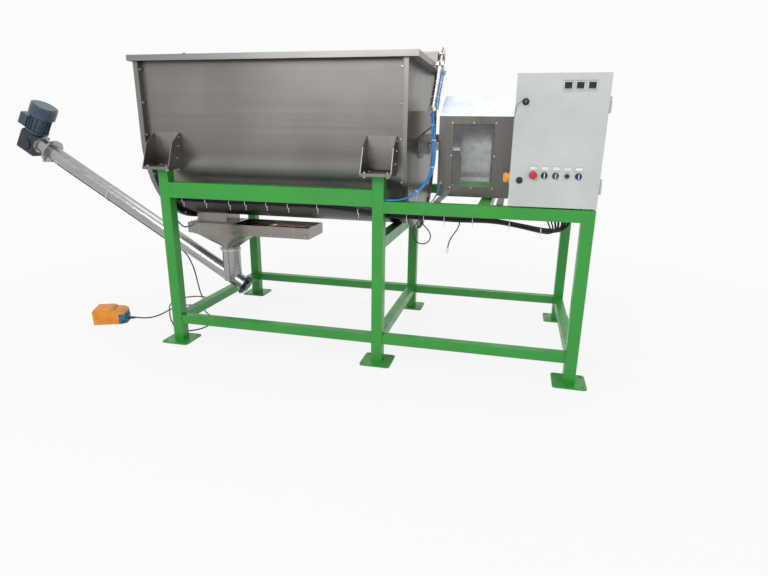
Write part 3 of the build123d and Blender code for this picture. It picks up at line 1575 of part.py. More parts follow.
def hose_route(start, end, steps):
    """Points from one end to the other: x as a distance, y and z as shares of the way."""
    return [(start[0] + dx, start[1] + fy * (end[1] - start[1]), start[2] + fz * (end[2] - start[2]))
            for dx, fy, fz in steps]


def make_air_hoses():
    """Two air hoses: right lift cylinder to the rail, left lift cylinder to the slide gate."""
    plate_y = pivot_y - gusset_half - hose_r
    right = hose_route(
        (cylinder_x(1), plate_y, pivot_z + 29), (0, -half_width() + leg_size / 2, drive_rail_top + hose_r),
        [(7, 0, 0), (16, 0, 0.141), (31, 0.128, 0.317), (40, 0.222, 0.483), (39, 0.359, 0.626),
         (22, 0.521, 0.755), (-14, 0.692, 0.861), (-62, 0.85, 0.947), (-118, 0.966, 0.996), (-168, 1, 1),
         (-220, 1, 1)])
    left = hose_route(
        (cylinder_x(-1), plate_y, pivot_z + 17), (0, -gate_half, gate_top - 32),
        [(20, 0, 0), (25, -0.019, 0.097), (33, -0.273, 0.207), (39, -0.519, 0.316), (41, -0.667, 0.42),
         (43, -0.62, 0.523), (44, -0.412, 0.62), (47, -0.157, 0.718), (53, 0.12, 0.815), (61, 0.352, 0.906),
         (69, 0.583, 0.973), (75, 0.745, 1), (75, 1, 1)])
    return [cord_tube(right, hose_r, "right hose"), cord_tube(left, hose_r, "left hose")]


def make_loose_cables():
    """A spare loop and a short lead with a plug, which hang from the underside of the drive rail."""
    under = drive_rail_top - drive_rail_height
    y = -half_width() + leg_size / 2
    loop = [(372, 8, 0), (372, 8, 35), (404, 9, 69), (438, 10, 101), (448, 12, 139), (430, 14, 173),
            (392, 16, 185), (354, 18, 173), (334, 20, 139), (334, 21, 97), (354, 22, 61), (378, 23, 32),
            (378, 23, 0)]
    lead = [(618, 15, 0), (618, 15, 40), (606, 15, 80), (580, 15, 117), (558, 15, 157), (552, 15, 197)]
    loop_tube = cord_tube([(x, y + dy, under - dz) for x, dy, dz in loop], loose_r, "spare loop")
    lead_points = [(x, y + dy, under - dz) for x, dy, dz in lead]
    lead_tube = cord_tube(lead_points, loose_r, "short lead")
    before, end = [Vector(*p) for p in lead_points[-2:]]
    return [loop_tube, lead_tube, rod(end, end - before, plug_r, plug_length)]


def main():
    shaft = make_mixer_shaft()
    outer = make_outer_ribbon()
    inner = make_inner_ribbon()
    nodes = {
        "legs": make_legs(),
        "foot_plates": make_foot_plates(),
        "leg_cap_plates": make_leg_cap_plates(),
        "upper_rails": make_upper_rails(),
        "lower_rails": make_lower_rails(),
        "trough_shell": make_trough_shell(),
        "end_plate_left": make_end_plate(-1),
        "end_plate_right": make_end_plate(1),
        "bolts": make_bolts(),
        "support_brackets": make_support_brackets(),
        "lid": make_lid(),
        "lifting_beam": make_lifting_beam(),
        "hinge_brackets": make_hinge_brackets(),
        "hinge_pins": make_hinge_pins(),
        "cylinder_brackets": make_cylinder_brackets(),
        "lift_barrel_left": make_barrel(-1),
        "lift_barrel_right": make_barrel(1),
        "lift_rod_left": make_lift_rod(-1),
        "lift_rod_right": make_lift_rod(1),
        "mixer_shaft": shaft,
        "outer_ribbon": outer,
        "inner_ribbon": inner,
        "ribbon_arms": make_ribbon_arms(shaft, [outer, inner]),
        "shaft_bearings": make_shaft_bearings(),
        "drive_gearbox": make_drive_gearbox(),
        "drive_motor": make_drive_motor(),
        "drive_support": make_drive_support(),
        "guard_housing": make_guard_housing(),
        "guard_window": make_guard_window(),
        "cover_screws": make_cover_screws(),
        "cabinet_body": make_cabinet_body(),
        "cabinet_door": make_cabinet_door(),
        "door_lock_upper": make_door_lock(upper_lock_z),
        "door_lock_lower": make_door_lock(lower_lock_z),
        "panel_meters": make_panel_meters(),
        "emergency_stop": make_emergency_stop(),
        "selector_left": make_selector(1),
        "selector_middle": make_selector(2),
        "push_button": make_push_button(),
        "selector_right": make_selector(4),
        "main_switch_base": make_main_switch_base(),
        "main_switch_handle": make_main_switch_handle(),
        "outlet_duct": make_outlet_duct(),
        "gate_frame": make_gate_frame(),
        "gate_blade": make_gate_blade(),
        "gate_cylinder": make_gate_cylinder(),
        "hopper": make_hopper(),
        "clamp_ring": make_clamp_ring(),
        "conveyor_tube": make_conveyor_tube(),
        "conveyor_screw": make_conveyor_screw(),
        "conveyor_bearing": make_conveyor_bearing(),
        "conveyor_gearbox": make_conveyor_gearbox(),
        "conveyor_motor": make_conveyor_motor(),
        "pedal_guard": make_pedal_guard(),
        "pedal_base": make_pedal_base(),
        "pedal_treadle": make_pedal_treadle(),
        "pedal_cord": make_pedal_cord(),
        "frame_cables": make_frame_cables(),
        "air_hoses": make_air_hoses(),
        "loose_cables": make_loose_cables(),
    }
    os.makedirs("parts", exist_ok=True)
    for name, shape in nodes.items():
        solids = []
        for item in shape if isinstance(shape, list) else [shape]:
            solids += as_solids(item)
        node = solids[0] if len(solids) == 1 else Compound(children=solids)
        node.label = name
        export_step(node, "parts/" + name + ".step")


main()
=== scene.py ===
import math
import bpy
from mathutils import Matrix, Vector


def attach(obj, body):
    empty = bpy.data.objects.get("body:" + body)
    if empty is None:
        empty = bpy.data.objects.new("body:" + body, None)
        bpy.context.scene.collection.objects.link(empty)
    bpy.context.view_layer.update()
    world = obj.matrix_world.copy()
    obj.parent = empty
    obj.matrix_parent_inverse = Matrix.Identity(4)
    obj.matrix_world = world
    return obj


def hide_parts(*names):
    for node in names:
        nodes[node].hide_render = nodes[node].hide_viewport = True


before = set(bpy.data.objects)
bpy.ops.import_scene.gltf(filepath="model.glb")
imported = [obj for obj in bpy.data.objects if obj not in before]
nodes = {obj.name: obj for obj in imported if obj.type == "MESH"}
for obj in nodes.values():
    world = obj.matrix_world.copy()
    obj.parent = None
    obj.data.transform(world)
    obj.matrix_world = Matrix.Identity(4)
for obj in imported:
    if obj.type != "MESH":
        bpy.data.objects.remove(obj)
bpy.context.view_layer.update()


# Where things are: millimetres for routes, metres for the cabinet's front

pedal_x, pedal_y, pedal_turn = -2060, -420, math.radians(24)
teal_from, teal_top = 0.066, 0.078
slope = math.radians(31)
door_y = -0.635
control_xs = [1.011 + 0.060 * i for i in range(5)]
control_z = 1.238
meter_xs = [1.150 + 0.060 * i for i in range(3)]
meter_z = 1.703
lock_x = 0.940
upper_lock_z, lower_lock_z = 1.624, 1.208
shaft_z, bolt_circle = 1.378, 0.088
backdrop = (251, 252, 251)


# Materials

def srgb(r, g, b):
    """A display colour, 0 to 255, as linear light."""
    def one(c):
        c /= 255
        return c / 12.92 if c <= 0.04045 else ((c + 0.055) / 1.055) ** 2.4
    return one(r), one(g), one(b), 1


class Shader:
    """A material whose nodes are added one at a time."""

    def __init__(self, name):
        self.material = bpy.data.materials.new(name)
        self.material.use_nodes = True
        self.tree = self.material.node_tree
        self.main = self.tree.nodes["Principled BSDF"]
        self.place = self.add("ShaderNodeTexCoord").outputs["Object"]

    def add(self, kind, **settings):
        node = self.tree.nodes.new(kind)
        for key, value in settings.items():
            setattr(node, key, value)
        return node

    def link(self, source, target):
        self.tree.links.new(source, target)

    def stretched(self, x, y, z):
        mapping = self.add("ShaderNodeMapping")
        mapping.inputs["Scale"].default_value = (x, y, z)
        self.link(self.place, mapping.inputs["Vector"])
        return mapping.outputs["Vector"]

    def noise(self, scale, detail=4, place=None, roughness=0.55):
        node = self.add("ShaderNodeTexNoise")
        node.inputs["Scale"].default_value = scale
        node.inputs["Detail"].default_value = detail
        node.inputs["Roughness"].default_value = roughness
        self.link(place or self.place, node.inputs["Vector"])
        return node.outputs["Fac"]

    def ramp(self, fac, stops):
        node = self.add("ShaderNodeValToRGB")
        while len(node.color_ramp.elements) < len(stops):
            node.color_ramp.elements.new(0.5)
        for element, (at, colour) in zip(node.color_ramp.elements, stops):
            element.position = at
            element.color = colour if hasattr(colour, "__len__") else (colour, colour, colour, 1)
        self.link(fac, node.inputs["Fac"])
        return node.outputs["Color"]

    def mix(self, fac, a, b, mode="MIX"):
        node = self.add("ShaderNodeMix", data_type="RGBA", blend_type=mode)
        for socket, value in ((node.inputs[0], fac), (node.inputs[6], a), (node.inputs[7], b)):
            if isinstance(value, bpy.types.NodeSocket):
                self.link(value, socket)
            else:
                socket.default_value = value
        return node.outputs[2]

    def bump(self, height, strength, distance=0.001):
        node = self.add("ShaderNodeBump")
        node.inputs["Strength"].default_value = strength
        node.inputs["Distance"].default_value = distance
        self.link(height, node.inputs["Height"])
        self.link(node.outputs["Normal"], self.main.inputs["Normal"])

    def normal_z(self):
        split = self.add("ShaderNodeSeparateXYZ")
        self.link(self.add("ShaderNodeNewGeometry").outputs["Normal"], split.inputs[0])
        return split.outputs["Z"]

    def along(self, axis):
        split = self.add("ShaderNodeSeparateXYZ")
        self.link(self.place, split.inputs[0])
        return split.outputs[axis]

    def set(self, **values):
        for key, value in values.items():
            self.main.inputs[key.replace("_", " ")].default_value = value

    def colour(self, socket):
        self.link(socket, self.main.inputs["Base Color"])

    def rough(self, socket):
        self.link(socket, self.main.inputs["Roughness"])


def shade(colour, factor):
    return tuple(min(1, c * factor) for c in colour[:3]) + (1,)


def paint(name, colour, rough=0.38, grain=420, bump=0.06, wear=None):
    """Sprayed paint: slight clouding, fine orange peel and a thin dust film."""
    s = Shader(name)
    clouds = s.noise(3.0, 5)
    base = s.ramp(clouds, [(0.3, shade(colour, 0.9)), (0.7, shade(colour, 1.08))])
    specks = s.ramp(s.noise(60, 6, roughness=0.7), [(0.62, 0.0), (0.8, 0.35)])
    s.colour(s.mix(specks, base, wear or shade(colour, 1.35)))
    s.rough(s.ramp(s.noise(9, 4), [(0.3, rough - 0.07), (0.7, rough + 0.1)]))
    s.bump(s.noise(grain, 2), bump)
    s.set(Specular_IOR_Level=0.5, Coat_Weight=0.12, Coat_Roughness=0.25)
    return s.material


def steel(name, colour, rough=0.3, along="x", scale=1.0, streak=0.16, mottled=0.12):
    """Satin sheet: fine scratches along one direction, soft clouds and a few darker handling marks."""
    s = Shader(name)
    fine = {"x": (2, 300, 300), "y": (300, 2, 300), "z": (300, 300, 2)}[along]
    coarse = {"x": (0.6, 40, 40), "y": (40, 0.6, 40), "z": (40, 40, 0.6)}[along]
    scratches = s.noise(scale, 3, s.stretched(*fine))
    bands = s.noise(scale, 4, s.stretched(*coarse))
    clouds = s.noise(1.6, 5)
    base = s.ramp(clouds, [(0.3, shade(colour, 1 - mottled)), (0.7, shade(colour, 1 + mottled))])
    lined = s.mix(0.55, base, s.ramp(bands, [(0.25, 1 - streak), (0.75, 1.0)]), "MULTIPLY")
    marks = s.ramp(s.noise(5.0, 8, roughness=0.72), [(0.66, 0.0), (0.78, 0.5)])
    s.colour(s.mix(marks, lined, shade(colour, 0.72)))
    s.rough(s.ramp(bands, [(0.2, rough - 0.07), (0.8, rough + 0.12)]))
    s.bump(scratches, 0.10, 0.0004)
    s.set(Metallic=0.92, Specular_IOR_Level=0.5)
    return s.material


def plastic(name, colour, rough=0.4, grain=900, bump=0.05):
    """Moulded plastic with a fine spark texture."""
    s = Shader(name)
    s.colour(s.ramp(s.noise(14, 4), [(0.3, shade(colour, 0.9)), (0.7, shade(colour, 1.1))]))
    s.rough(s.ramp(s.noise(40, 3), [(0.3, rough - 0.05), (0.7, rough + 0.08)]))
    s.bump(s.noise(grain, 2), bump, 0.0005)
    return s.material


def cast(name, colour, rough=0.5):
    """Painted casting with a coarse, mottled skin; faces turned upward are blended towards a pale blue-grey,
    a painted highlight.
    """
    s = Shader(name)
    skin = s.ramp(s.noise(22, 6, roughness=0.65), [(0.3, shade(colour, 0.72)), (0.65, shade(colour, 1.2))])
    # painted highlight: faces turned upward blend towards a pale blue-grey
    s.colour(s.mix(s.ramp(s.normal_z(), [(0.75, 0.0), (0.95, 0.3)]), skin, srgb(170, 182, 188)))
    s.rough(s.ramp(s.noise(50, 3), [(0.3, rough - 0.1), (0.7, rough + 0.12)]))
    s.bump(s.noise(260, 4), 0.22, 0.001)
    s.set(Metallic=0.15)
    return s.material


def pane(name):
    """Clear plastic with faint haze and smears."""
    s = Shader(name)
    haze = s.noise(5, 3, s.stretched(1, 1, 0.35))
    s.colour(s.ramp(haze, [(0.3, srgb(226, 229, 229)), (0.7, srgb(244, 246, 246))]))
    s.link(s.ramp(haze, [(0.3, 0.06), (0.8, 0.12)]), s.main.inputs["Alpha"])
    s.rough(s.ramp(s.noise(12, 4), [(0.3, 0.05), (0.7, 0.16)]))
    s.set(Specular_IOR_Level=0.6)
    return s.material


def trough_sheet(name):
    """Satin sheet with light and shade painted by height: a painted reflection as a paler band low on the
    side, painted shade that makes the underside dark, and a darker upper side.
    """
    s = Shader(name)
    bands = s.noise(1.0, 4, s.stretched(0.5, 30, 30))
    clouds = s.noise(1.3, 5)
    base = s.ramp(clouds, [(0.3, srgb(134, 131, 128)), (0.7, srgb(160, 157, 153))])
    lined = s.mix(0.4, base, s.ramp(bands, [(0.25, 0.88), (0.75, 1.0)]), "MULTIPLY")
    # painted reflection and painted shade by height: dark underside, pale band low on the side, darker upper
    # part
    height = s.add("ShaderNodeMapRange", clamp=True)
    s.link(s.along("Z"), height.inputs["Value"])
    height.inputs["From Min"].default_value = 0.8
    height.inputs["From Max"].default_value = 2.0
    painted_light_by_height = s.ramp(height.outputs[0], [(0.0, 0.16), (0.13, 0.18), (0.24, 0.60), (0.32, 1.1), (0.385, 1.0),
                                      (0.43, 0.72), (0.75, 0.74), (0.97, 0.58)])
    s.colour(s.mix(1.0, s.mix(1.0, lined, painted_light_by_height, "MULTIPLY"), srgb(238, 237, 236), "MULTIPLY"))
    s.rough(s.ramp(bands, [(0.2, 0.27), (0.8, 0.43)]))
    s.bump(s.noise(1.0, 3, s.stretched(2, 300, 300)), 0.10, 0.0004)
    s.set(Metallic=0.92)
    return s.material


def switch_skin(name):
    """Rotary handle: yellow body with a red grip on its outer side."""
    s = Shader(name)
    outer = s.ramp(s.along("X"), [(0.8535, 1.0), (0.8545, 0.0)])
    grain = s.noise(30, 4)
    body = s.ramp(grain, [(0.3, srgb(236, 150, 24)), (0.7, srgb(250, 184, 52))])
    grip = s.ramp(grain, [(0.3, srgb(168, 38, 20)), (0.7, srgb(206, 60, 30))])
    s.colour(s.mix(outer, body, grip))
    s.rough(s.ramp(s.noise(50, 3), [(0.3, 0.3), (0.7, 0.45)]))
    s.bump(s.noise(700, 2), 0.05, 0.0005)
    return s.material


def sheet_guard(name):
    """The guard's sheet: dark brushed walls, and every face turned upward painted with a bright reflection,
    bluish to warm.
    """
    s = Shader(name)
    upward = s.ramp(s.normal_z(), [(0.35, 0.0), (0.45, 1.0)])
    grain = s.noise(1.0, 4, s.stretched(60, 60, 0.8))
    walls = s.ramp(grain, [(0.25, srgb(98, 95, 92)), (0.75, srgb(112, 109, 105))])
    # painted reflection: faces turned upward get a bright bluish-to-warm colour
    roof_painted_reflection = s.ramp(s.noise(4.5, 5), [(0.3, srgb(176, 192, 222)), (0.5, srgb(208, 210, 212)),
                                    (0.7, srgb(232, 222, 182))])
    s.colour(s.mix(upward, walls, roof_painted_reflection))
    s.rough(s.ramp(s.noise(7, 4), [(0.3, 0.24), (0.7, 0.42)]))
    s.bump(s.noise(1.0, 3, s.stretched(300, 300, 2)), 0.1, 0.0004)
    s.set(Metallic=0.9)
    return s.material


def pedal_shell(name):
    """Moulded orange, teal low down at the cable end."""
    s = Shader(name)
    turned_place = s.add("ShaderNodeMapping", vector_type="TEXTURE")
    turned_place.inputs["Location"].default_value = (pedal_x / 1000, pedal_y / 1000, 0)
    turned_place.inputs["Rotation"].default_value = (0, 0, pedal_turn)
    s.link(s.place, turned_place.inputs["Vector"])
    split = s.add("ShaderNodeSeparateXYZ")
    s.link(turned_place.outputs["Vector"], split.inputs[0])
    rear = s.add("ShaderNodeMath", operation="GREATER_THAN")
    s.link(split.outputs["X"], rear.inputs[0])
    rear.inputs[1].default_value = teal_from
    low = s.add("ShaderNodeMath", operation="LESS_THAN")
    s.link(split.outputs["Z"], low.inputs[0])
    low.inputs[1].default_value = teal_top
    both = s.add("ShaderNodeMath", operation="MULTIPLY")
    s.link(rear.outputs[0], both.inputs[0])
    s.link(low.outputs[0], both.inputs[1])
    clouds = s.noise(16, 5)
    warm = s.ramp(clouds, [(0.3, srgb(222, 132, 30)), (0.7, srgb(247, 160, 52))])
    cool = s.ramp(clouds, [(0.3, srgb(34, 88, 106)), (0.7, srgb(52, 116, 134))])
    s.colour(s.mix(both.outputs[0], warm, cool))
    s.rough(s.ramp(s.noise(50, 3), [(0.3, 0.36), (0.7, 0.52)]))
    s.bump(s.noise(700, 2), 0.08, 0.0005)
    return s.material


green = paint("green_enamel", srgb(44, 148, 50), 0.36)
sheet_steel = steel("plain_sheet", srgb(140, 137, 134), 0.33, "x")
trough = trough_sheet("trough_sheet")
switch = switch_skin("switch_skin")
upright_steel = steel("upright_sheet", srgb(130, 127, 124), 0.34, "z")
bright_steel = steel("bright_steel", srgb(186, 185, 183), 0.24, "x", 2.0)
gate_steel = steel("gate_sheet", srgb(148, 142, 136), 0.24, "x", 1.4, 0.35)
tube_steel = steel("tube_steel", srgb(168, 168, 168), 0.2, "x", 1.2, 0.25, 0.05)
guard_sheet = sheet_guard("guard_sheet")
cabinet_grey = paint("cabinet_enamel", srgb(192, 197, 196), 0.42, 700, 0.05)
gear_grey = cast("gear_housing", srgb(206, 209, 210), 0.45)
motor_slate = cast("motor_slate", srgb(58, 78, 92), 0.34)
gear_slate = cast("gear_slate", srgb(40, 48, 55), 0.4)
black = plastic("black_plastic", srgb(30, 30, 32), 0.35)
red = plastic("red_plastic", srgb(196, 38, 50), 0.3)
green_knob = plastic("green_plastic", srgb(18, 84, 58), 0.32)
dark_knob = plastic("dark_plastic", srgb(24, 34, 44), 0.32)
blue_knob = plastic("navy_plastic", srgb(34, 36, 88), 0.32)
yellow = plastic("yellow_plastic", srgb(246, 178, 36), 0.4)
pedal_skin = pedal_shell("pedal_skin")
rubber = plastic("cable_sheath", srgb(14, 14, 16), 0.5, 1400, 0.08)
hose = plastic("blue_hose", srgb(34, 136, 216), 0.2)
tie_white = plastic("white_nylon", srgb(226, 226, 220), 0.45)
amber = plastic("amber_strip", srgb(190, 124, 26), 0.35)
window = pane("clear_pane")
brass = steel("brass", srgb(200, 150, 80), 0.28, "z")

looks = {
    green: ("legs", "foot_plates", "upper_rails", "lower_rails", "drive_support"),
    sheet_steel: ("lid", "lifting_beam", "gate_blade"),
    trough: ("trough_shell",),
    gate_steel: ("outlet_duct", "gate_frame", "hopper"),
    upright_steel: ("end_plate_left", "end_plate_right", "support_brackets", "cylinder_brackets",
                    "hinge_brackets", "ribbon_arms", "leg_cap_plates"),
    bright_steel: ("bolts", "hinge_pins", "cover_screws", "lift_rod_left", "lift_rod_right", "clamp_ring",
                   "mixer_shaft", "outer_ribbon", "inner_ribbon", "lift_barrel_left", "lift_barrel_right",
                   "gate_cylinder"),
    tube_steel: ("conveyor_tube", "conveyor_screw"),
    guard_sheet: ("guard_housing",),
    window: ("guard_window",),
    gear_grey: ("drive_gearbox", "drive_motor", "shaft_bearings"),
    motor_slate: ("conveyor_motor",),
    cabinet_grey: ("cabinet_body", "cabinet_door"),
    black: ("panel_meters", "push_button", "door_lock_upper", "door_lock_lower"),
    red: ("emergency_stop",),
    switch: ("main_switch_handle",),
    dark_knob: ("selector_left",),
    green_knob: ("selector_middle",),
    blue_knob: ("selector_right",),
    yellow: ("main_switch_base",),
    pedal_skin: ("pedal_guard", "pedal_base"),
    gear_slate: ("conveyor_gearbox", "conveyor_bearing", "pedal_treadle"),
    rubber: ("pedal_cord", "frame_cables", "loose_cables"),
    hose: ("air_hoses",),
}
for material, names in looks.items():
    for name in names:
        mesh = nodes[name].data
        mesh.materials.clear()
        mesh.materials.append(material)


# Pieces that only the picture needs

def finished(obj, name, material, body):
    """Names a new piece, gives it its material and lets it ride on a body."""
    obj.name = name
    obj.data.name = name
    obj.data.materials.clear()
    obj.data.materials.append(material)
    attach(obj, body)
    return obj


def deselect():
    bpy.ops.object.select_all(action="DESELECT")


def block(lo, hi, round_by=0.0008):
    """A block between two corners with rounded edges."""
    deselect()
    centre = [(p + q) / 2 for p, q in zip(lo, hi)]
    bpy.ops.mesh.primitive_cube_add(size=1, location=centre)
    obj = bpy.context.object
    obj.scale = [q - p for p, q in zip(lo, hi)]
    bpy.ops.object.transform_apply(location=True, rotation=True, scale=True)
    bpy.ops.object.mode_set(mode="EDIT")
    bpy.ops.mesh.select_all(action="SELECT")
    bpy.ops.mesh.bevel(offset=round_by, segments=2, affect="EDGES")
    bpy.ops.object.mode_set(mode="OBJECT")
    return obj


def joined(objects):
    """Several meshes as one piece."""
    deselect()
    for obj in objects:
        obj.select_set(True)
    bpy.context.view_layer.objects.active = objects[0]
    if len(objects) > 1:
        bpy.ops.object.join()
    return bpy.context.object


def boxes(name, corners, material, body, round_by=0.0008):
    """Several small rounded blocks as one piece."""
    return finished(joined([block(lo, hi, round_by) for lo, hi in corners]), name, material, body)


def aimed(direction):
    """The turn that takes +Z to a direction."""
    return Vector(direction).normalized().to_track_quat("Z", "Y").to_euler()


def lathe(centre, direction, profile, count=32):
    """A turned form: a disc, extruded and scaled step by step; profile is (distance along, radius)."""
    deselect()
    way = Vector(direction).normalized()
    place = Vector(centre) + way * profile[0][0]
    bpy.ops.mesh.primitive_circle_add(vertices=count, radius=profile[0][1], fill_type="NGON", location=place,
                                      rotation=aimed(direction))
    obj = bpy.context.object
    bpy.ops.object.mode_set(mode="EDIT")
    bpy.ops.mesh.select_all(action="SELECT")
    for (at, r), (next_at, next_r) in zip(profile, profile[1:]):
        bpy.ops.mesh.extrude_region_move(TRANSFORM_OT_translate={"value": way * (next_at - at)})
        bpy.ops.transform.resize(value=(next_r / r,) * 3, center_override=Vector(centre) + way * next_at)
    bpy.ops.mesh.select_all(action="SELECT")
    bpy.ops.mesh.normals_make_consistent(inside=False)
    bpy.ops.object.mode_set(mode="OBJECT")
    bpy.ops.object.transform_apply(location=True, rotation=True, scale=True)
    bpy.ops.object.shade_smooth_by_angle(angle=math.radians(35))
    return obj


def turned(name, centre, direction, profile, material, body, count=32):
    return finished(lathe(centre, direction, profile, count), name, material, body)


def tie(centre, direction, radius, width=0.005):
    """A cable tie: a flat loop, its head and a short cut tail."""
    deselect()
    bpy.ops.mesh.primitive_torus_add(major_segments=28, minor_segments=8, major_radius=radius + 0.0008,
                                     minor_radius=0.0009, location=centre, rotation=aimed(direction))
    loop = bpy.context.object
    loop.scale = (1, 1, width / 0.0018)
    bpy.ops.object.transform_apply(location=True, rotation=True, scale=True)
    x, y, z = Vector(centre) + Vector((0, 0, -radius - 0.003))
    head = block((x - 0.0032, y - 0.0032, z - 0.004), (x + 0.0032, y + 0.0032, z + 0.003), 0.0007)
    tail = block((x - 0.0016, y - 0.0006, z - 0.026), (x + 0.0016, y + 0.0006, z - 0.0035), 0.0003)
    return joined([loop, head, tail])


def bands(name, places, material, body, slot=None):
    return finished(joined([tie(*place) for place in places]), name, material, body)


def hex_bolt(centre, direction, across=0.013, height=0.006):
    """A small hexagon head with a chamfered top."""
    r = across / math.sqrt(3)
    return lathe(centre, direction, [(0, r), (height * 0.8, r), (height, r * 0.86)], 6)


def line(name, points, radius, material, body, segments=10):
    """A round cable along a smooth curve with these control points, in metres."""
    data = bpy.data.curves.new(name, "CURVE")
    data.dimensions = "3D"
    spline = data.splines.new("NURBS")
    spline.points.add(len(points) - 1)
    for point, place in zip(spline.points, points):
        point.co = (*place, 1)
    spline.order_u = 3
    spline.use_endpoint_u = True
    spline.resolution_u = segments
    data.bevel_depth = radius
    data.bevel_resolution = 4
    data.use_fill_caps = True
    obj = bpy.data.objects.new(name, data)
    bpy.context.collection.objects.link(obj)
    return finished(obj, name, material, body)


def mm(points):
    return [(x / 1000, y / 1000, z / 1000) for x, y, z in points]


# Foot switch cord: the same route as the solid

gland_way = Vector((math.cos(pedal_turn), math.sin(pedal_turn), 0))
gland_end = Vector((pedal_x, pedal_y, 24)) + gland_way * 144
onward = gland_end + gland_way * 38
floor_z = 5.5
upper_z = 21.5
cord_route = [
    tuple(gland_end), tuple(onward), (-1852, -318, 12), (-1815, -270, floor_z), (-1795, -205, floor_z),
    (-1795, -135, floor_z), (-1800, -60, floor_z), (-1785, 15, floor_z), (-1740, 75, floor_z),
    (-1675, 100, floor_z), (-1610, 85, floor_z), (-1550, 40, floor_z), (-1500, -20, floor_z),
    (-1440, -75, floor_z), (-1375, -125, floor_z), (-1325, -185, floor_z), (-1292, -255, floor_z),
    (-1288, -330, floor_z), (-1305, -400, floor_z), (-1350, -450, floor_z), (-1415, -470, floor_z),
    (-1480, -445, floor_z), (-1535, -395, floor_z), (-1590, -335, floor_z), (-1650, -270, floor_z),
    (-1710, -195, floor_z), (-1762, -120, upper_z), (-1815, -48, upper_z), (-1862, 25, floor_z),
    (-1895, 100, floor_z), (-1905, 180, floor_z), (-1880, 260, floor_z), (-1820, 315, floor_z),
    (-1745, 335, floor_z), (-1672, 312, floor_z), (-1618, 255, floor_z), (-1592, 185, 9),
    (-1583, 120, 40), (-1578, 75, 100), (-1572, 40, 168), (-1570, 18, 242), (-1574, 5, 318), (-1590, 0, 388)]


def on_screw(s, n):
    """A point s along the conveyor and n below its axis, in millimetres."""
    run, rise = math.cos(slope), math.sin(slope)
    return -1129 - run * s - rise * n, 0, 259 + rise * s - run * n


cord_route += [on_screw(535, 77), on_screw(598, 65), on_screw(640, 65)]
cord = line("foot_switch_cord", mm(cord_route), 0.005, rubber, "frame")
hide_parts("pedal_cord")
relief = turned("cord_relief", gland_end / 1000 - gland_way * 0.004, gland_way,
                [(0, 0.0105), (0.004, 0.0105), (0.006, 0.0085), (0.012, 0.0092), (0.014, 0.0076),
                 (0.020, 0.0082), (0.022, 0.0067), (0.028, 0.0072), (0.030, 0.0058), (0.034, 0.0052)],
                rubber, "frame")

# Cable bundle along the front rails

bundle_y = -548.8
bundle = [(-1290, 1002), (-1100, 998), (-900, 992), (-700, 1000), (-500, 993), (-300, 999), (-100, 990),
          (60, 968), (220, 957), (400, 962), (600, 956), (800, 963), (950, 941), (1080, 917), (1175, 912),
          (1222, 950),
          (1240, 1020)]
strands = [(0, 0, 7.5), (8, 7, 7), (-8, 8, 6.5), (9, -6, 6.5), (-9, -6, 6), (1, 13, 4.5), (-2, -13, 4.5)]
for index, (dy, dz, r) in enumerate(strands):
    wander = [1.8 * math.sin(1.7 * i + 2.1 * index) for i in range(len(bundle))]
    points = [(x, bundle_y + dy * 0.9 + (6 if x > 1150 else 0), z + dz * 0.9 + wander[i])
              for i, (x, z) in enumerate(bundle[:-2])]
    fan = -24 * index
    points[-1] = (1185 + fan * 0.25, bundle_y + dy + 4, 912 + dz)
    points += [(1236 + fan * 0.7, bundle_y + dy + 8, 950 - index * 2), (1244 + fan, bundle_y + dy + 10, 1010),
               (1240 + fan, bundle_y + dy + 10, 1063)]
    piece = line("bundle_cable_%d" % index, mm(points), r / 1000, rubber, "frame", 6)
    if index == 0:
        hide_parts("frame_cables")

tie_places = [(-1250, 999), (-1080, 997), (-905, 992), (-790, 997), (-640, 998), (-490, 993), (-290, 998),
              (-20, 981), (290, 959), (395, 962), (520, 959), (690, 959), (905, 949), (1085, 917)]
bands("bundle_ties", [(Vector((x, bundle_y, z)) / 1000, (1, 0, 0), 0.0185) for x, z in tie_places],
      tie_white, "frame", "cabinet_paint")

# Spare loop and short lead under the drive rail

loop_route = [(372, -592, 985), (372, -592, 950), (404, -591, 916), (438, -590, 884), (448, -588, 846),
              (430, -586, 812), (392, -584, 800), (354, -582, 812), (334, -580, 846), (334, -579, 888),
              (354, -578, 924), (378, -577, 953), (378, -577, 985)]
lead_route = [(618, -585, 985), (618, -585, 945), (606, -585, 905), (580, -585, 868), (558, -585, 828),
              (552, -585, 788)]
spare = line("spare_loop", mm(loop_route), 0.0035, rubber, "frame")
lead = line("short_lead", mm(lead_route), 0.0035, rubber, "frame")
lead_way = (Vector(lead_route[-1]) - Vector(lead_route[-2])).normalized()
plug = turned("lead_plug", Vector(lead_route[-1]) / 1000, lead_way,
              [(0, 0.0042), (0.002, 0.0062), (0.010, 0.0064), (0.011, 0.0070), (0.024, 0.0070),
               (0.025, 0.0060), (0.033, 0.0060), (0.034, 0.0052)], tie_white, "frame")
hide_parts("loose_cables")

# Cable along the underside of the conveyor, over the conduit, with its ties

line("conveyor_cable", mm([on_screw(s, 65) for s in (640, 760, 1000, 1300, 1600, 1860)]), 0.0096,
     rubber, "frame")
along = Vector((-math.cos(slope), 0, math.sin(slope)))
bands("conveyor_ties", [(Vector(on_screw(s, 9)) / 1000, along, 0.0665) for s in (700, 1330)],
      tie_white, "frame", "cabinet_paint")

# Air hoses: two side by side at the drive end, one at the other end

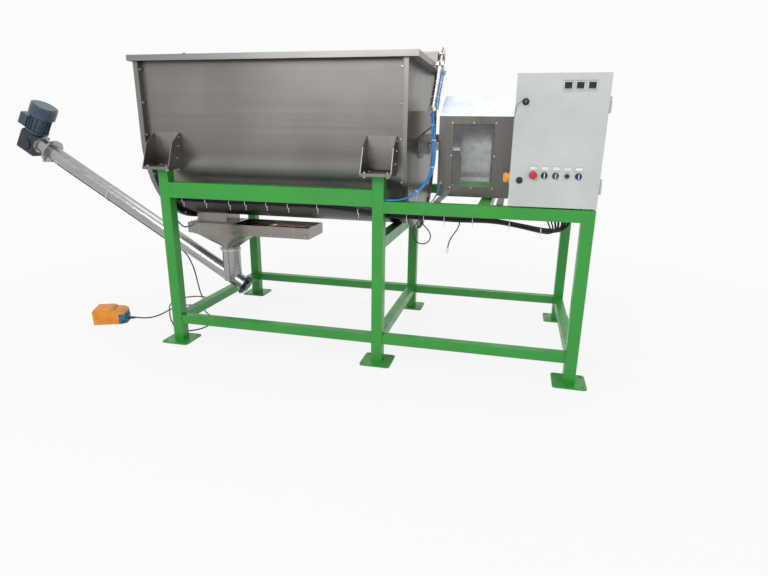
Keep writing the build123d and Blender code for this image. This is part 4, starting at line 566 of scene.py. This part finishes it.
right_hose = [(387, -366, 1572), (396, -366, 1500), (411, -396, 1410), (420, -418, 1325), (419, -450, 1252),
              (402, -488, 1186), (366, -528, 1132), (318, -565, 1088), (262, -592, 1063), (212, -600, 1061),
              (160, -600, 1061)]
left_hose = [(-1545, -366, 1560), (-1540, -362, 1480), (-1532, -425, 1390), (-1526, -478, 1300),
             (-1524, -510, 1215), (-1522, -500, 1130), (-1521, -455, 1050), (-1518, -400, 970),
             (-1512, -340, 890), (-1504, -290, 815), (-1496, -240, 760), (-1490, -205, 738),
             (-1490, -150, 738)]
first = line("right_hose", mm(right_hose), 0.006, hose, "frame")
line("right_hose_second", mm([(x + 12, y - 10, z + 5) for x, y, z in right_hose[:-2]]
                             + [(212, -613, 1061), (160, -613, 1061)]), 0.0055, hose, "frame")
line("left_hose", mm(left_hose), 0.006, hose, "frame")
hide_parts("air_hoses")
bands("hose_ties", [(Vector((x + 6, y - 5, z)) / 1000, (0, 0.2, 1), 0.0135)
                    for x, y, z in ((396, -366, 1500), (411, -396, 1410), (419, -450, 1252))]
      + [(Vector((345, -552, 1112)) / 1000, (0.7, 0.5, 0.6), 0.0135)], tie_white, "frame", "cabinet_paint")

lift_way = Vector((0, 0.410, 0.437)).normalized()
lift_foot = Vector((0.380, -0.315, 1.543))
side_step = Vector((0.7, -0.7, 0)).normalized() * 0.030
for index, (low, high) in enumerate(((0.060, 0.430), (0.075, 0.400))):
    start = lift_foot + lift_way * low + side_step + Vector((0.011 * index, 0.008 * index, 0))
    points = [start + lift_way * (high - low) * k / 4 + Vector((0.002 * math.sin(2.2 * k + index), 0, 0))
              for k in range(5)]
    line("barrel_hose_%d" % index, points, 0.0045, hose, "lift_barrel_right")
bands("barrel_ties",
      [(lift_foot + lift_way * s + side_step * 0.25, lift_way, 0.0345) for s in (0.15, 0.28, 0.39)],
      tie_white, "lift_barrel_right", "cabinet_paint")
for side, body in ((-1.565, "lift_barrel_left"), (0.380, "lift_barrel_right")):
    foot = Vector((side, -0.315, 1.543))
    fittings = []
    for s in (0.052, 0.452):
        spot = foot + lift_way * s + Vector((0, -0.014, 0.013)) * 1.25
        fittings.append(lathe(spot, (0, -0.73, 0.68),
                              [(0, 0.007), (0.006, 0.007), (0.007, 0.0055), (0.013, 0.0055), (0.014, 0.0066),
                               (0.020, 0.0066)], 12))
    finished(joined(fittings), body + "_fittings", brass, body)

# Air fitting low on the guard, with a short hose down to the rail

turned("guard_fitting", (0.462, -0.338, 1.150), (0, -1, 0),
       [(0, 0.009), (0.005, 0.009), (0.006, 0.007), (0.016, 0.007), (0.017, 0.0085), (0.024, 0.0085)], brass,
       "frame", 12)
line("guard_hose", [(0.462, -0.356, 1.148), (0.461, -0.372, 1.146), (0.458, -0.384, 1.128),
                    (0.452, -0.420, 1.095), (0.446, -0.500, 1.068), (0.442, -0.575, 1.061)], 0.004, hose,
     "frame")

# Strips in the open end of the gate frame

boxes("gate_strips",
      [((-0.900, y, 0.742), (-0.532, y + 0.030, 0.750)) for y in (-0.112, -0.050, 0.012, 0.074)], amber,
      "frame", 0.001)

# Bolts at the tops of the support brackets and on the drive gearbox

heads = []
for x in (-1.330, 0.125):
    for dx in (-0.095, 0.095):
        side = math.copysign(1, dx)
        for y, z in ((-0.560, 1.405), (-0.575, 1.350), (-0.600, 1.275)):
            heads.append(hex_bolt((x + dx, y, z), (side, 0, 0), 0.012, 0.006))
finished(joined(heads), "bracket_screws", bright_steel, "frame")
heads = []
for k in range(8):
    a = math.radians(45 * k + 22.5)
    heads.append(hex_bolt((0.560, bolt_circle * math.cos(a), shaft_z + bolt_circle * math.sin(a)), (-1, 0, 0),
                          0.014, 0.007))
finished(joined(heads), "gearbox_screws", bright_steel, "frame")

# Panel: legend plates, meter faces, grip lines, locks, key and its wire

boxes("legend_plates",
      [((x - 0.0215, door_y - 0.0018, 1.2640), (x + 0.0215, door_y, 1.2880)) for x in control_xs],
      bright_steel, "cabinet_door", 0.0006)
boxes("legend_inserts", [((x - 0.0185, door_y - 0.0026, 1.2670), (x + 0.0185, door_y - 0.0014, 1.2850))
                         for x in control_xs], tie_white, "cabinet_door", 0.0004)
glass = plastic("meter_glass", srgb(16, 18, 22), 0.12, 300, 0.01)
boxes("meter_windows", [((x - 0.0178, door_y - 0.0030, 1.6965), (x + 0.0178, door_y - 0.0022, 1.7195))
                        for x in meter_xs],
      glass, "cabinet_door", 0.0003)
boxes("meter_keys", [((x + dx - 0.003, door_y - 0.0052, 1.6865), (x + dx + 0.003, door_y - 0.0038, 1.6900))
                     for x in meter_xs for dx in (-0.014, -0.005, 0.004, 0.013)],
      gear_grey, "cabinet_door", 0.0004)
boxes("meter_bezels", [((x + dx0, door_y - 0.0066, meter_z + dz0), (x + dx1, door_y - 0.0010, meter_z + dz1))
                       for x in meter_xs for dx0, dz0, dx1, dz1 in
                       ((-0.0252, 0.0185, 0.0252, 0.0252), (-0.0252, -0.0252, 0.0252, -0.0185),
                        (-0.0252, -0.0186, -0.0185, 0.0186), (0.0185, -0.0186, 0.0252, 0.0186))],
      cabinet_grey, "cabinet_door", 0.0010)
for body, x in (("selector_left", 1.071), ("selector_middle", 1.131), ("selector_right", 1.251)):
    boxes(body + "_line", [((x - 0.0025, door_y - 0.0212, 1.2245), (x + 0.0025, door_y - 0.0196, 1.2515))],
          tie_white, body, 0.0004)
for x in control_xs[1:]:
    turned("bezel_%d" % round(x * 1000), (x, door_y, control_z), (0, -1, 0),
           [(0.0, 0.0182), (0.0022, 0.0182), (0.0036, 0.0170)], black if x != control_xs[3] else bright_steel,
           "cabinet_door")
turned("stop_collar", (control_xs[0], door_y, control_z), (0, -1, 0),
       [(0.0, 0.0215), (0.003, 0.0215), (0.005, 0.0190), (0.009, 0.0150)], black, "cabinet_door")
for body, z in (("door_lock_upper", upper_lock_z), ("door_lock_lower", lower_lock_z)):
    head = lathe((lock_x, door_y, z), (0, -1, 0),
                 [(0.0, 0.0185), (0.004, 0.0185), (0.0065, 0.0165), (0.0065, 0.0140), (0.010, 0.0132),
                  (0.0112, 0.0118), (0.0112, 0.0060), (0.0080, 0.0055)])
    finished(head, body + "_rosette", black, body)
turned("lock_keyhole", (lock_x, door_y - 0.0080, lower_lock_z), (0, -1, 0),
       [(0, 0.0050), (0.0022, 0.0050), (0.0030, 0.0042)], gear_slate, "door_lock_lower", 16)
key_parts = [block((0.9375, door_y - 0.0270, 1.6215), (0.9425, door_y - 0.0100, 1.6265), 0.0006),
             lathe((lock_x, door_y - 0.0270, upper_lock_z), (0, -1, 0),
                   [(0, 0.0085), (0.0015, 0.0095), (0.003, 0.0085)], 24)]
finished(joined(key_parts), "door_key", black, "door_lock_upper")
boxes("key_edge", [((0.9390, door_y - 0.0306, 1.6160), (0.9410, door_y - 0.0298, 1.6320))], bright_steel,
      "door_lock_upper", 0.0003)
line("key_wire", [(lock_x, door_y - 0.024, 1.634), (0.925, door_y - 0.024, 1.630),
                  (0.908, door_y - 0.018, 1.618), (0.893, door_y - 0.008, 1.600),
                  (0.8875, door_y - 0.002, 1.572), (0.8872, door_y - 0.001, 1.540)], 0.0013,
     rubber, "cabinet_door")
boxes("switch_grip", [((0.8490, -0.5490, 1.193), (0.8520, -0.5410, 1.237))], tie_white, "main_switch_handle",
      0.0006)

# Weld beads where the rails meet the front legs

def weld(start, end):
    """A row of small overlapping drops along a line."""
    start, end = Vector(start), Vector(end)
    count = max(3, int((end - start).length / 0.006))
    drops = []
    for k in range(count + 1):
        deselect()
        bpy.ops.mesh.primitive_uv_sphere_add(segments=8, ring_count=5, radius=0.0034,
                                             location=start.lerp(end, k / count))
        drop = bpy.context.object
        drop.scale = (1.0, 0.8, 1.15)
        bpy.ops.object.transform_apply(location=True, rotation=True, scale=True)
        bpy.ops.object.shade_smooth()
        drops.append(drop)
    return drops


beads = []
for x, z0, z1 in ((-1.295, 1.020, 1.120), (0.090, 1.020, 1.120), (0.160, 0.985, 1.055),
                  (-1.295, 0.135, 0.195), (0.090, 0.135, 0.195), (0.160, 0.135, 0.195),
                  (1.295, 0.135, 0.195)):
    y = -0.635 if z0 > 0.5 else -0.630
    beads += weld((x, y + 0.001, z0), (x, y + 0.001, z1))
finished(joined(beads), "rail_welds", green, "frame")


# Floor, light and camera

def stage_floor():
    deselect()
    bpy.ops.mesh.primitive_plane_add(size=300, location=(0, 0, -0.0005))
    floor = bpy.context.object
    floor.name = "floor"
    s = Shader("floor_white")
    s.colour(s.ramp(s.noise(0.8, 3), [(0.3, 0.86), (0.7, 0.89)]))
    s.set(Roughness=0.9, Specular_IOR_Level=0.1)
    glow = s.add("ShaderNodeEmission")
    glow.inputs["Color"].default_value = srgb(*backdrop)
    path = s.add("ShaderNodeLightPath")
    seen = s.add("ShaderNodeMath", operation="ADD", use_clamp=True)
    s.link(path.outputs["Is Camera Ray"], seen.inputs[0])
    s.link(path.outputs["Is Glossy Ray"], seen.inputs[1])
    away = s.add("ShaderNodeVectorMath", operation="LENGTH")
    s.link(s.place, away.inputs[0])
    reach = s.add("ShaderNodeMapRange", clamp=True)
    s.link(away.outputs["Value"], reach.inputs["Value"])
    for key, value in (("From Min", 1.5), ("From Max", 4.5), ("To Min", 0.9), ("To Max", 1.0)):
        reach.inputs[key].default_value = value
    share = s.add("ShaderNodeMath", operation="MULTIPLY")
    s.link(seen.outputs[0], share.inputs[0])
    s.link(reach.outputs[0], share.inputs[1])
    mixer = s.add("ShaderNodeMixShader")
    s.link(share.outputs[0], mixer.inputs[0])
    s.link(s.main.outputs[0], mixer.inputs[1])
    s.link(glow.outputs[0], mixer.inputs[2])
    s.link(mixer.outputs[0], s.tree.nodes["Material Output"].inputs["Surface"])
    floor.data.materials.append(s.material)


def area_light(name, place, target, size, power):
    data = bpy.data.lights.new(name, "AREA")
    data.size = size
    data.energy = power
    lamp = bpy.data.objects.new(name, data)
    bpy.context.collection.objects.link(lamp)
    lamp.location = place
    lamp.rotation_euler = (Vector(target) - Vector(place)).to_track_quat("-Z", "Y").to_euler()


def world_light():
    world = bpy.data.worlds.new("studio")
    bpy.context.scene.world = world
    world.use_nodes = True
    tree = world.node_tree
    back = tree.nodes["Background"]
    back.inputs["Color"].default_value = (1, 1, 1, 1)
    back.inputs["Strength"].default_value = 0.46
    seen = tree.nodes.new("ShaderNodeBackground")
    seen.inputs["Color"].default_value = srgb(*backdrop)
    path = tree.nodes.new("ShaderNodeLightPath")
    any_ray = tree.nodes.new("ShaderNodeMath")
    any_ray.operation = "MAXIMUM"
    more = tree.nodes.new("ShaderNodeMath")
    more.operation = "MAXIMUM"
    tree.links.new(path.outputs["Is Camera Ray"], any_ray.inputs[0])
    tree.links.new(path.outputs["Is Glossy Ray"], any_ray.inputs[1])
    tree.links.new(any_ray.outputs[0], more.inputs[0])
    tree.links.new(path.outputs["Is Transmission Ray"], more.inputs[1])
    mixer = tree.nodes.new("ShaderNodeMixShader")
    tree.links.new(more.outputs[0], mixer.inputs[0])
    tree.links.new(back.outputs[0], mixer.inputs[1])
    tree.links.new(seen.outputs[0], mixer.inputs[2])
    tree.links.new(mixer.outputs[0], tree.nodes["World Output"].inputs["Surface"])


def photo_camera():
    data = bpy.data.cameras.new("camera")
    data.sensor_width = 36
    data.sensor_fit = "HORIZONTAL"
    data.lens = 25.134
    data.clip_end = 100
    camera = bpy.data.objects.new("camera", data)
    bpy.context.collection.objects.link(camera)
    right = Vector((0.9719, 0.2350, 0.0136))
    down = Vector((0.0791, -0.2716, -0.9590))
    ahead = Vector((-0.2217, 0.9332, -0.2826))
    right = right.normalized()
    ahead = (ahead - ahead.dot(right) * right).normalized()
    down = ahead.cross(right)
    matrix = Matrix((right, -down, -ahead)).transposed().to_4x4()
    matrix.translation = Vector((0.9171, -3.7746, 1.4675))
    camera.matrix_world = matrix
    bpy.context.scene.camera = camera


stage_floor()
world_light()
area_light("key", (-1.5, -5.5, 4.0), (0, 0, 1), 3.0, 165)
area_light("fill", (4.5, -3.5, 2.5), (0.3, 0, 1), 3.0, 45)
area_light("top", (0, 0.5, 5.5), (0, 0, 1), 4.0, 90)
photo_camera()
bpy.context.scene.view_settings.view_transform = "Standard"
